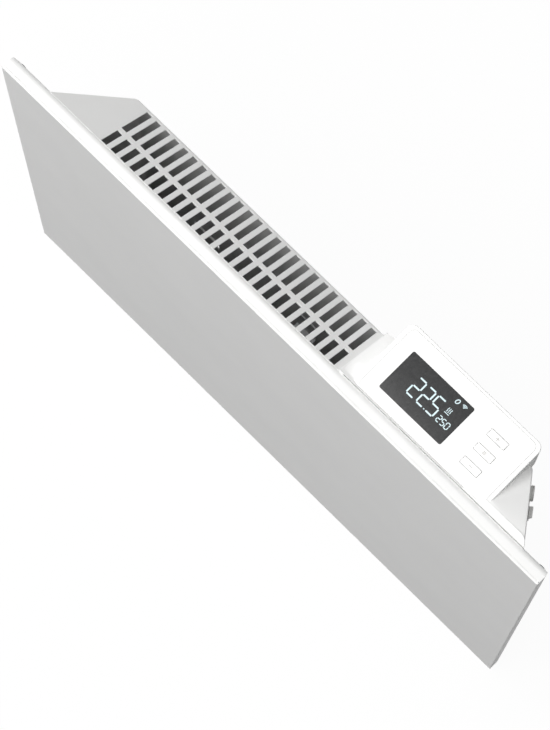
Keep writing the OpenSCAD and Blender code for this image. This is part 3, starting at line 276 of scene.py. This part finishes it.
bpy.ops.transform.shrink_fatten(value=-fold_deep * MM)
bpy.ops.object.mode_set(mode="OBJECT")
apply_modifier(panel, "SOLIDIFY", thickness=panel_sheet * MM, offset=-1.0)
fit_piece(panel, "heater", panel_coat, ["front_panel"])

# Rear pan. Pressed and punched 1 mm steel sheet with the outlet slots in its sloped top wall and
# the intake slots below, powder coated in the same line as the panel.
pan_coat = grained_finish("pan_powder_coat", "#E7E7E6", "#EAEAE9", 60.0, 0.42, 0.9, 0.008)
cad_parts["rear_pan"].material_slots[0].material = pan_coat

# Screws that hold the pan to the panel's hems: cross-recessed steel, blackened in an oxide bath.
black_oxide = grained_finish("black_oxide_steel", "#26262A", "#3A3A3C", 3.0, 0.4, 0.3, 0.01, metal=0.6)
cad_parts["panel_screws"].material_slots[0].material = black_oxide

# Heat shield, electrics partition, element brackets and the cut-out's bracket: galvanised sheet
# with its soft crystal pattern, held by zinc-plated rivets and screws.
galvanised = grained_finish("galvanised_sheet", "#BCBDBE", "#D0D1D1", 9.0, 0.5, 1.2, 0.004, metal=0.35)
for name in ("heat_shield", "electrics_partition", "element_brackets", "cutout_bracket"):
    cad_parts[name].material_slots[0].material = galvanised
zinc_plate = grained_finish("zinc_plated_steel", "#B4B6B8", "#C8CACC", 4.0, 0.3, 0.2, 0.004, metal=0.9)
for name in ("shield_rivets", "bracket_rivets", "housing_screws", "cover_screws", "board_screws",
             "power_board_screws"):
    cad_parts[name].material_slots[0].material = zinc_plate

# Heating element. An extruded aluminium body with its drawn lines along the length, pressed round
# a stainless tube that the first heating has tinted, in glazed ceramic bushes.
fin_metal = grained_finish("extruded_aluminium", "#C4C6C7", "#D6D7D8", 12.0, 0.45, 0.4, 0.01, metal=0.6,
                           stretch=(0.05, 1.0, 1.0))
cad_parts["element_fins"].material_slots[0].material = fin_metal
tube_metal = grained_finish("heat_tinted_stainless", "#6E6559", "#8A8279", 14.0, 0.3, 0.3, 0.004, metal=0.95)
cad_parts["element_rod"].material_slots[0].material = tube_metal
bush_ceramic = grained_finish("glazed_ceramic", "#DCD7C9", "#E9E5DA", 6.0, 0.22, 0.8, 0.01)
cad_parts["element_bushes"].material_slots[0].material = bush_ceramic

# Thermal cut-out and room sensor in black moulded cases, and the silicone grommets in the partition.
black_moulding = grained_finish("black_moulded_plastic", "#1B1B1D", "#242426", 5.0, 0.5, 0.25, 0.02)
for name in ("thermal_cutout", "room_sensor"):
    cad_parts[name].material_slots[0].material = black_moulding
silicone = grained_finish("silicone_rubber", "#1F1F20", "#2A2A2B", 5.0, 0.7, 0.2, 0.01)
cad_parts["partition_grommets"].material_slots[0].material = silicone

# Control housing. One injection moulding in white plastic that wraps the pan's right end: a strip
# that runs up into the pod in a soft cove, the pod that carries the cap, a ledge level with the
# panel's top edge, and a shoulder that dips between the pod and the leaning right wall.
x_left, x_pod, pod_width, x_end, end_lean = 63.0, 75.5, 127.0, 241.0, 36.6
y_near, y_far, y_pod_far = -72.525, -22.5, -11.925
z_level, z_floor, pod_drop = panel_high.z, box_mm("control_housing")[0].z, 38.0
x_pod_right = x_pod + pod_width
wall, ledge_deep = 2.2, 6.3
cap_wide, cap_deep, cap_radius, cap_thick = 120.0, 56.8, 4.5, 2.4
cap_margin, cap_rise, cap_tilt = 1.3, 0.65, math.radians(3.3)
cap_middle = Vector((x_pod + pod_width / 2, y_near + cap_margin + cap_deep / 2, z_level + cap_rise))
cap_place = Matrix.Translation(cap_middle * MM) @ Matrix.Rotation(cap_tilt, 4, "X")
lean_rate = end_lean / (y_far - y_near)


def strip_height(y):
    """Height of the housing's skin, which lies a little above the pan's slope."""
    slope_drop, skin, slope_start, slope = 1.6, 1.78, -73.0, math.radians(32.7)
    return z_level - slope_drop + skin - (y - slope_start) * math.tan(slope)


def rim_height(y):
    """Height of the pod's rim, which rises to the rear with the cap."""
    return cap_middle.z + (y - cap_middle.y) * math.tan(cap_tilt)


def shoulder_height(x, y):
    """Height of the shoulder: straight lines fan out from the pod's front corner, each falling at
    its own rate, so that it dips a little between the ledge and the pod."""
    first_fall, fan_fall, swell_fall = 0.04, 0.27, 0.04
    swell_wide, under_ledge = math.radians(78.0), 0.4
    right, back = max(x - x_pod_right, 0.01), y - (y_near + ledge_deep)
    fan = math.atan2(back, right)
    swell = math.sin(fan / swell_wide * math.pi) ** 2 if 0.0 < fan < swell_wide else 0.0
    fall = first_fall + fan_fall * fan + swell_fall * swell
    height = z_level - math.hypot(right, back) * fall
    return min(height, z_level - under_ledge) if back <= 0.0 else height


def wall_x(y):
    """Where the leaning right wall stands at depth y, with its rear corner rounded."""
    corner_long, corner_deep = 3.0, 2.2
    into_corner = max(0.0, y - (y_far - corner_long)) / corner_long
    round_off = corner_deep * (1.0 - math.sqrt(max(0.0, 1.0 - into_corner ** 2)))
    return x_end - (y - y_near) * lean_rate - round_off


def sheet_block(name, count, place, drop):
    """A block whose top is a fine grid laid out by place(s, t) in mm, and whose underside lies at
    the height drop."""
    bpy.ops.object.select_all(action="DESELECT")
    bpy.ops.mesh.primitive_grid_add(x_subdivisions=count, y_subdivisions=count, size=1.0)
    piece = bpy.context.object
    piece.name = name
    for vertex in piece.data.vertices:
        vertex.co = Vector(place(vertex.co.x + 0.5, vertex.co.y + 0.5)) * MM
    pick(piece, "FACE", lambda c, n: True)
    bpy.ops.mesh.extrude_region_move()
    bpy.ops.object.mode_set(mode="OBJECT")
    for vertex in piece.data.vertices:
        if vertex.select:
            vertex.co.z = drop * MM
    pick(piece, "FACE", lambda c, n: True)
    bpy.ops.mesh.normals_make_consistent(inside=False)
    bpy.ops.object.mode_set(mode="OBJECT")
    return piece


def shoulder_place(s, t):
    """The shoulder's top, from its root inside the pod to the right wall, where it is rounded off.
    The grid's lines crowd towards that edge."""
    crowding, root, edge_round = 1.6, 8.0, 1.2
    y = y_near + t * (y_far - y_near)
    x_from, edge = x_pod_right - root, wall_x(y)
    x = x_from + (1.0 - (1.0 - s) ** crowding) * (edge - x_from)
    near_edge = max(0.0, 1.0 - (edge - x) / edge_round)
    drop = edge_round * (1.0 - math.sqrt(max(0.0, 1.0 - near_edge ** 2)))
    return x, y, shoulder_height(x, y) - drop


def cove_place(s, t):
    """The cove's top, which runs from the strip's left edge up to just under the pod's rim."""
    inset, start, lap, sink = 0.4, 0.5, 0.6, 0.05
    most_rise, under_rim, straight = 9.0, 0.4, 0.75
    x = x_left + start + s * (x_pod + lap - x_left - start)
    y = y_near + inset + t * (y_far - y_near - 2 * inset)
    rise = max(0.0, min(most_rise, rim_height(y) - strip_height(y) - under_rim))
    curve = straight * s + (1.0 - straight) * (1.0 - math.sqrt(max(0.0, 1.0 - s * s)))
    return x, y, strip_height(y) - sink + rise * curve


# How near a plane the middle of an edge lies that counts as in it.
touch = 0.1
core_back, core_sink, strip_round = 4.0, 0.1, 1.6
house = start_box("control_housing_moulding", (x_left, y_near, z_floor),
                  (x_pod_right - core_back, y_far, z_level - core_sink))
pick(house, "EDGE", lambda c, d: c.z > z_level - 1.0 and c.y > y_far - touch)
bpy.ops.transform.translate(value=(0.0, 0.0, (strip_height(y_far) - z_level + core_sink) * MM))
round_edges(house, lambda c, d: c.z > z_floor + 5 and c.y > y_far - touch and abs(d.x) > 0.9,
            strip_round, 6)
carve(house, sheet_block("shoulder", 40, shoulder_place, z_floor), "UNION")
pod_block, pod_chamfer, pod_corner, rim_round = 12.0, 8.0, 6.0, 0.7
pod = start_box("pod", (x_pod, y_near, z_level - pod_drop), (x_pod_right, y_pod_far, z_level + pod_block))
pick(pod, "EDGE", lambda c, d: c.z < z_level - pod_drop + touch and c.y > y_pod_far - touch)
bpy.ops.mesh.bevel(offset=pod_chamfer * MM, segments=1, affect="EDGES")
round_edges(pod, lambda c, d: abs(d.z) > 0.99, pod_corner, 10)
make_active(pod)
bpy.ops.object.mode_set(mode="EDIT")
bpy.ops.mesh.select_all(action="SELECT")
bpy.ops.mesh.bisect(plane_co=cap_middle * MM, plane_no=(0.0, -math.sin(cap_tilt), math.cos(cap_tilt)),
                    use_fill=True, clear_outer=True)
round_edges(pod, lambda c, d: c.z > rim_height(c.y) - 0.05 and abs(d.z) < 0.3, rim_round, 4)
carve(house, pod, "UNION")
ledge_root, ledge_thick, ledge_corner, ledge_round = 20.0, 8.0, 3.8, 0.5
ledge_rear = y_near + ledge_deep
ledge = start_box("ledge", (x_pod_right - ledge_root, y_near, z_level - ledge_thick),
                  (x_end, ledge_rear, z_level))
pick(ledge, "EDGE", lambda c, d: c.x > x_end - touch and c.y > ledge_rear - touch and abs(d.z) > 0.9)
bpy.ops.transform.translate(value=(-ledge_deep * lean_rate * MM, 0.0, 0.0))
round_edges(ledge, lambda c, d: c.x > x_end - ledge_deep and c.y > ledge_rear - touch and abs(d.z) > 0.9,
            ledge_corner, 8)
round_edges(ledge, lambda c, d: c.z > z_level - touch and c.y > y_near + touch
            and c.x > x_pod_right - ledge_root + 1, ledge_round, 3)
carve(house, ledge, "UNION")
cove_foot = 50.0
carve(house, sheet_block("cove", 30, cove_place, z_level - cove_foot), "UNION")
# Inside: the skirt that laps the pan, the cavity, and the opening and recess of the cap.
overrun = 2.0
skirt_front, skirt_side, skirt_rear, skirt_high, skirt_past = 0.5, 3.4, 3.0, 10.3, 3.0
skirt = start_box("skirt", (x_left - skirt_past, y_near + skirt_front, z_floor - overrun),
                  (x_end - skirt_side, y_far - skirt_rear, z_floor + skirt_high))
pick(skirt, "EDGE", lambda c, d: c.x > x_end - 4 and c.y > y_far - 4 and abs(d.z) > 0.9)
skirt_deep = y_far - y_near - (skirt_front + skirt_rear)
bpy.ops.transform.translate(value=(-lean_rate * skirt_deep * MM, 0.0, 0.0))
carve(house, skirt)
front_wall, cavity_roof, pod_rear, pod_roof = 2.6, 26.0, 6.2, 4.6
end_angle = math.atan2(end_lean, y_far - y_near)
cavity_near, cavity_far = y_near + front_wall, y_far - wall
cavity_right = wall_x(cavity_near) - wall / math.cos(end_angle)
cavity = start_box("cavity", (x_pod + wall, cavity_near, z_floor + skirt_high + wall),
                   (cavity_right, cavity_far, z_level - cavity_roof))
# The cavity's right side leans with the wall, so that the wall stays whole and even.
pick(cavity, "EDGE", lambda c, d: c.x > cavity_right - 1 and c.y > cavity_far - 1 and abs(d.z) > 0.9)
bpy.ops.transform.translate(value=((wall_x(cavity_far) - wall_x(cavity_near)) * MM, 0.0, 0.0))
carve(house, cavity)
carve(house, start_box("pod_cavity", (x_pod + wall, y_near + wall, z_level - pod_drop + wall),
                       (x_pod_right - wall, y_pod_far - pod_rear, z_level - pod_roof)))


def cap_outline(name, wide, deep, radius, low, high):
    """A rounded block in the cap's own plane, before to_cap puts it on the pod."""
    piece = start_box(name, (-wide / 2, -deep / 2, low), (wide / 2, deep / 2, high))
    round_edges(piece, lambda c, d: abs(d.z) > 0.99, radius, 8)
    return piece


def to_cap(piece):
    """Puts a piece that was made in the cap's own plane in its place on the pod."""
    piece.data.transform(cap_place)
    return piece


cap_lip, cap_gap, cut_in, cut_out = 1.6, 0.1, 8.0, 4.0
carve(house, to_cap(cap_outline("cap_opening", cap_wide - 2 * cap_lip, cap_deep - 2 * cap_lip,
                                cap_radius - cap_lip, -cut_in, cut_out)))
carve(house, to_cap(cap_outline("cap_recess", cap_wide + 2 * cap_gap, cap_deep + 2 * cap_gap,
                                cap_radius + cap_gap, -cap_thick, cut_out)))
# In its walls: the terminal cover's seat, the switch's opening and the cable entry's bore.
cover_low, cover_high = box_mm("terminal_cover")
cover_gap = 0.15
carve(house, start_box("cover_seat", cover_low - Vector((cover_gap, 0.0, cover_gap)),
                       cover_high + Vector((cover_gap, overrun, cover_gap))))
side_turn, side_drop = Matrix.Rotation(end_angle, 4, "Z"), 42.0


def side_place(along):
    """The plane of the right wall: x out of it, y along it, z up, at a place along it."""
    return Matrix.Translation(Vector((x_end, y_near, z_level - side_drop)) * MM) @ side_turn \
        @ Matrix.Translation((0.0, along * MM, 0.0))


switch_in, switch_out, switch_wide, switch_high, switch_along = 12.0, 6.0, 11.2, 17.2, 33.3
opening = start_box("switch_opening", (-switch_in, -switch_wide / 2, -switch_high / 2),
                    (switch_out, switch_wide / 2, switch_high / 2))
opening.data.transform(side_place(switch_along))
carve(house, opening)
entry_radius, entry_long, entry_along = 5.05, 20.0, 47.8
bpy.ops.object.select_all(action="DESELECT")
bpy.ops.mesh.primitive_cylinder_add(vertices=48, radius=entry_radius * MM, depth=entry_long * MM,
                                    rotation=(0.0, math.radians(90.0), 0.0))
bpy.ops.object.transform_apply(location=True, rotation=True, scale=True)
bore = bpy.context.object
bore.data.transform(side_place(entry_along))
carve(house, bore)
# Injection-moulded white plastic: spark-eroded tool skin, matt and very fine, with little drift.
housing_white = grained_finish("moulded_white_plastic", "#F7F7F6", "#FBFBFA", 40.0, 0.5, 0.35, 0.005)
fit_piece(house, "heater", housing_white, ["control_housing"], angle=28.0)
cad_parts["terminal_cover"].material_slots[0].material = housing_white

# Control cap. A smooth white moulding let into the pod with a fine gap all round, with a shallow
# recess for the display window and three openings for the keys.
cap_edge, cut_through = 0.2, 4.0
cap = cap_outline("cap_moulding", cap_wide, cap_deep, cap_radius, -cap_thick, 0.0)
round_edges(cap, lambda c, d: c.z > -0.05, cap_edge, 3)
x_window, y_window, x_keys, y_keys, key_pitch = -18.65, -1.3, 36.7, -14.7, 13.4
window_wide, window_deep, window_radius, window_thick, window_seat = 59.3, 35.4, 1.5, 1.5, 3.0
for inset, low in ((0.0, -window_thick), (window_seat, -cut_through)):
    recess = cap_outline("recess", window_wide - 2 * inset, window_deep - 2 * inset, window_radius,
                         low, overrun)
    recess.data.transform(Matrix.Translation(Vector((x_window, y_window, 0.0)) * MM))
    carve(cap, recess)
key_wide, key_deep, key_radius, key_gap = 16.0, 5.8, 0.5, 0.3
for i in range(3):
    opening = cap_outline("opening", key_wide + 2 * key_gap, key_deep + 2 * key_gap,
                          key_radius + key_gap, -cut_through, overrun)
    opening.data.transform(Matrix.Translation(Vector((x_keys, y_keys + i * key_pitch, 0.0)) * MM))
    carve(cap, opening)
# Four bosses under the cap, which its board is screwed to.
boss_x, boss_y, boss_radius, boss_long, boss_middle = 50.0, 18.4, 2.6, 7.3, -5.9
for x in (-boss_x, boss_x):
    for y in (-boss_y, boss_y):
        bpy.ops.object.select_all(action="DESELECT")
        bpy.ops.mesh.primitive_cylinder_add(vertices=32, radius=boss_radius * MM, depth=boss_long * MM,
                                            location=Vector((x, y, boss_middle)) * MM)
        bpy.ops.object.transform_apply(location=True, rotation=True, scale=True)
        carve(cap, bpy.context.object, "UNION")
to_cap(cap)
# Smooth moulded cap: the same white, from a polished tool, with a soft gloss.
cap_white = grained_finish("polished_white_plastic", "#F8F8F7", "#FBFBFA", 50.0, 0.3, 1.5, 0.001)
fit_piece(cap, "heater", cap_white, ["control_cap"])

# Display window. Tinted acrylic, die cut and bonded flush into the cap. It looks near black until
# the segments behind it light up.
window_edge = 0.12
window = cap_outline("display_window_sheet", window_wide - 2 * cap_gap, window_deep - 2 * cap_gap,
                     window_radius - cap_gap, -window_thick, 0.0)
round_edges(window, lambda c, d: c.z > -0.05, window_edge, 2)
window.data.transform(Matrix.Translation(Vector((x_window, y_window, 0.0)) * MM))
tinted = grained_finish("tinted_acrylic", "#0F1011", "#131415", 30.0, 0.1, 2.0, 0.0002, coat=0.3)
fit_piece(to_cap(window), "heater", tinted, ["display_window"])

# Display content: thin lit segments, cut as on a segment display, and generic signs for heating,
# a knob and a radio signal. They show at the face of the window.
lit_high, corner_share, joint_share = 0.03, 0.42, 0.35


def stroke(start, end, wide):
    """A thin bar with rounded corners between two points of a face, in mm from its middle."""
    a, b = Vector(start), Vector(end)
    length = (b - a).length
    piece = start_box("stroke", (-length / 2, -wide / 2, 0.0), (length / 2, wide / 2, lit_high))
    round_edges(piece, lambda c, d: abs(d.z) > 0.99, wide * corner_share, 3)
    middle = (a + b) / 2
    piece.data.transform(Matrix.Translation((middle.x * MM, middle.y * MM, 0.0))
                         @ Matrix.Rotation(math.atan2(b.y - a.y, b.x - a.x), 4, "Z"))
    return piece


def from_shares(u, v):
    """Place in the window, in mm from its middle, of shares from its left and front edges."""
    return (u - 0.5) * window_wide, (v - 0.5) * window_deep


def digit(figure, u, v, wide, high, line):
    """A segment digit whose lower left corner is at the shares u, v."""
    x, y = from_shares(u, v)
    bars = {"a": ((0, 2), (1, 2)), "b": ((1, 2), (1, 1)), "c": ((1, 1), (1, 0)), "d": ((0, 0), (1, 0)),
            "e": ((0, 1), (0, 0)), "f": ((0, 2), (0, 1)), "g": ((0, 1), (1, 1))}
    lit = {"2": "abged", "5": "afgcd", "0": "abcdef"}[figure]
    parts = []
    for bar in lit:
        (ax, ay), (bx, by) = bars[bar]
        a = Vector((x + ax * wide, y + ay * high / 2))
        b = Vector((x + bx * wide, y + by * high / 2))
        along = (b - a).normalized() * line * joint_share
        parts.append(stroke(a + along, b - along, line))
    return parts


base_share, big_high, big_line = 0.30, 14.3, 1.2
lit_parts = []
for figure, left_share, wide in (("2", 0.275, 6.6), ("2", 0.435, 6.2), ("5", 0.585, 6.6)):
    lit_parts += digit(figure, left_share, base_share, wide, big_high, big_line)
x, y = from_shares(0.565, base_share)
lit_parts.append(stroke((x - 0.5, y), (x + 0.5, y), 0.9))
small_share, pitch_share, small_wide, small_high, small_line = 0.752, 0.064, 2.7, 4.9, 0.68
for i, figure in enumerate("250"):
    lit_parts += digit(figure, small_share + i * pitch_share, base_share, small_wide, small_high,
                       small_line)
x, y = from_shares(0.876, base_share)
lit_parts.append(stroke((x - 0.05, y), (x + 0.35, y), 0.45))
# Heating: three waves that rise from a bar.
x, y = from_shares(0.755, 0.545)
lit_parts.append(stroke((x, y), (x + 4.4, y), 0.5))
wave_start, wave_pitch, wave_lift, wave_line = 0.8, 1.4, 0.9, 0.5
wave_bends = ((0.0, 0.0), (0.5, 0.9), (-0.1, 1.9), (0.5, 3.0), (0.2, 3.8))
for i in range(3):
    wave = [(x + wave_start + wave_pitch * i + dx, y + wave_lift + dy) for dx, dy in wave_bends]
    lit_parts += [stroke(a, b, wave_line) for a, b in zip(wave, wave[1:])]
# A knob: a plain ring that leans a little.
x, y = from_shares(0.79, 0.87)
ring_wide, ring_lean, ring_high, ring_line, ring_count = 1.3, 0.5, 1.8, 0.85, 12
ring = []
for t in range(ring_count):
    across, up = math.cos(t * math.pi / 6), math.sin(t * math.pi / 6)
    ring.append((x + ring_wide * across + ring_lean * up, y + ring_high * up))
lit_parts += [stroke(ring[t], ring[(t + 1) % ring_count], ring_line) for t in range(ring_count)]
# A radio signal: arcs that widen from a point.
x, y = from_shares(0.892, 0.84)
arc_line = 0.55
for radius in (0.5, 1.3, 2.1, 2.9):
    turns = [math.radians(t) for t in (-44, -22, 0, 22, 44)]
    arc = [(x + radius * math.sin(t), y + radius * math.cos(t)) for t in turns]
    lit_parts += [stroke(a, b, arc_line) for a, b in zip(arc, arc[1:])]
bpy.ops.object.select_all(action="DESELECT")
for part in lit_parts:
    part.select_set(True)
bpy.context.view_layer.objects.active = lit_parts[0]
bpy.ops.object.join()
lit = bpy.context.object
lit.name = "display_segments"
lit.data.transform(Matrix.Translation(Vector((x_window, y_window, 0.0)) * MM))
# Lit segments: pale cyan light with a faint mottle where the diffuser lies behind it.
glow = bpy.data.materials.new("lit_segments")
glow.use_nodes = True
tree = glow.node_tree
shader = tree.nodes["Principled BSDF"]
place = add_node(tree, "ShaderNodeTexCoord").outputs["Object"]
mottle = add_node(tree, "ShaderNodeTexNoise", {"Scale": 1 / (0.6 * MM)}, {"Vector": place})
tone = add_node(tree, "ShaderNodeValToRGB", None, {"Fac": mottle.outputs[0]})
tone.color_ramp.elements[0].color, tone.color_ramp.elements[1].color = linear("#D3F1F8"), linear("#ECFBFE")
tree.links.new(tone.outputs[0], shader.inputs["Emission Color"])
shader.inputs["Emission Strength"].default_value = 1.0
shader.inputs["Base Color"].default_value = linear("#1A2022")
shader.inputs["Roughness"].default_value = 0.2
to_cap(lit)
fit_piece(lit, "heater", glow)

# Keys. Three small white mouldings that stand just proud of the cap, each over its own switch,
# with a printed grey sign: minus, menu and plus.
print_grey = grained_finish("grey_key_print", "#A5A29D", "#AFACA6", 2.0, 0.5, 0.2, 0.001)
signs = {"key_minus": [((-1.5, 0.0), (1.5, 0.0))],
         "key_menu": [((-1.4, k * 0.9), (1.4, k * 0.9)) for k in (-1, 0, 1)],
         "key_plus": [((-1.5, 0.0), (1.5, 0.0)), ((0.0, -1.5), (0.0, 1.5))]}
key_foot, key_proud, key_edge, sign_line, sign_sink = 2.6, 0.2, 0.22, 0.35, 0.01
flange_past, flange_low, flange_high = 1.3, -3.35, -2.55
stem_radius, stem_long, stem_middle = 1.5, 1.4, -3.65
for i, name in enumerate(("key_minus", "key_menu", "key_plus")):
    key = cap_outline(name + "_button", key_wide, key_deep, key_radius, -key_foot, key_proud)
    round_edges(key, lambda c, d: c.z > 0.15, key_edge, 3)
    carve(key, cap_outline("flange", key_wide + 2 * flange_past, key_deep + 2 * flange_past,
                           key_radius + key_gap, flange_low, flange_high), "UNION")
    bpy.ops.object.select_all(action="DESELECT")
    bpy.ops.mesh.primitive_cylinder_add(vertices=24, radius=stem_radius * MM, depth=stem_long * MM,
                                        location=(0.0, 0.0, stem_middle * MM))
    bpy.ops.object.transform_apply(location=True, rotation=True, scale=True)
    carve(key, bpy.context.object, "UNION")
    key.data.materials.clear()
    key.data.materials.append(cap_white)
    marks = [stroke(a, b, sign_line) for a, b in signs[name]]
    for mark in marks:
        mark.data.materials.append(print_grey)
        mark.data.transform(Matrix.Translation((0.0, 0.0, (key_proud - sign_sink) * MM)))
    make_active(key)
    for mark in marks:
        mark.select_set(True)
    bpy.ops.object.join()
    key.data.transform(cap_place @ Matrix.Translation(Vector((x_keys, y_keys + i * key_pitch, 0.0)) * MM))
    fit_piece(key, name, None, [name])

# Rocker switch and cable entry in the right wall: white moulded parts, snapped in and held by a nut.
switch_white = grained_finish("white_moulded_nylon", "#E9E9E7", "#F0F0EE", 8.0, 0.38, 0.3, 0.004)
for name in ("switch_body", "switch_rocker", "cable_gland", "gland_nut"):
    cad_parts[name].material_slots[0].material = switch_white

# Boards and what is on them: glass-epoxy boards under green solder mask, a potted transformer in
# yellow tape, a blue relay, a green terminal block, sleeved capacitors and black key switches.
solder_mask = grained_finish("green_solder_mask", "#0F4A2A", "#17603A", 2.2, 0.3, 0.8, 0.02)
for name in ("display_board", "power_board"):
    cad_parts[name].material_slots[0].material = solder_mask
for node, name, dark, light, patch, rough in (
        ("supply_transformer", "varnished_tape", "#B98A22", "#CDA13A", 3.0, 0.4),
        ("power_relay", "blue_relay_case", "#1D4696", "#2553A8", 5.0, 0.35),
        ("terminal_block", "green_polyamide", "#1B6B35", "#227C40", 4.0, 0.4),
        ("filter_capacitors", "shrink_sleeve", "#1A2142", "#222B54", 3.0, 0.25),
        ("display_module", "display_frame_plastic", "#3A3B3D", "#454648", 6.0, 0.5),
        ("key_switches", "key_switch_plastic", "#1C1C1D", "#252526", 2.0, 0.45)):
    finish = grained_finish(name, dark, light, patch, rough, 0.4, 0.01)
    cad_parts[node].material_slots[0].material = finish

# Wires: silicone sleeves round stranded copper, a grey flat ribbon between the boards, and the
# green and yellow earth lead on its brass stud.
for node, name, dark, light in (
        ("element_leads", "red_silicone_sleeve", "#8E1B17", "#A0241E"),
        ("switch_leads", "red_lead_sleeve", "#8E1B17", "#A0241E"),
        ("sensor_lead", "grey_lead_sleeve", "#7C7C7E", "#8A8A8C"),
        ("panel_ribbon", "grey_ribbon", "#8E8E90", "#9C9C9E"),
        ("earth_lead", "green_yellow_sleeve", "#4E8A1E", "#C9C52A")):
    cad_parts[node].material_slots[0].material = grained_finish(name, dark, light, 4.0, 0.5, 0.5, 0.01)
stud_brass = grained_finish("bright_brass", "#B58F3C", "#C8A456", 3.0, 0.25, 0.3, 0.004, metal=1.0)
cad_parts["earth_stud"].material_slots[0].material = stud_brass

# Wall rail and spacers: a folded steel rail with four hooks, powder coated, and two hollow
# white plugs that keep the heater's lower end off the wall.
rail_coat = grained_finish("rail_powder_coat", "#E4E4E3", "#E9E9E8", 60.0, 0.42, 0.9, 0.008)
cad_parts["wall_rail"].material_slots[0].material = rail_coat
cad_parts["wall_spacers"].material_slots[0].material = switch_white

bpy.context.scene.view_settings.view_transform = "Standard"
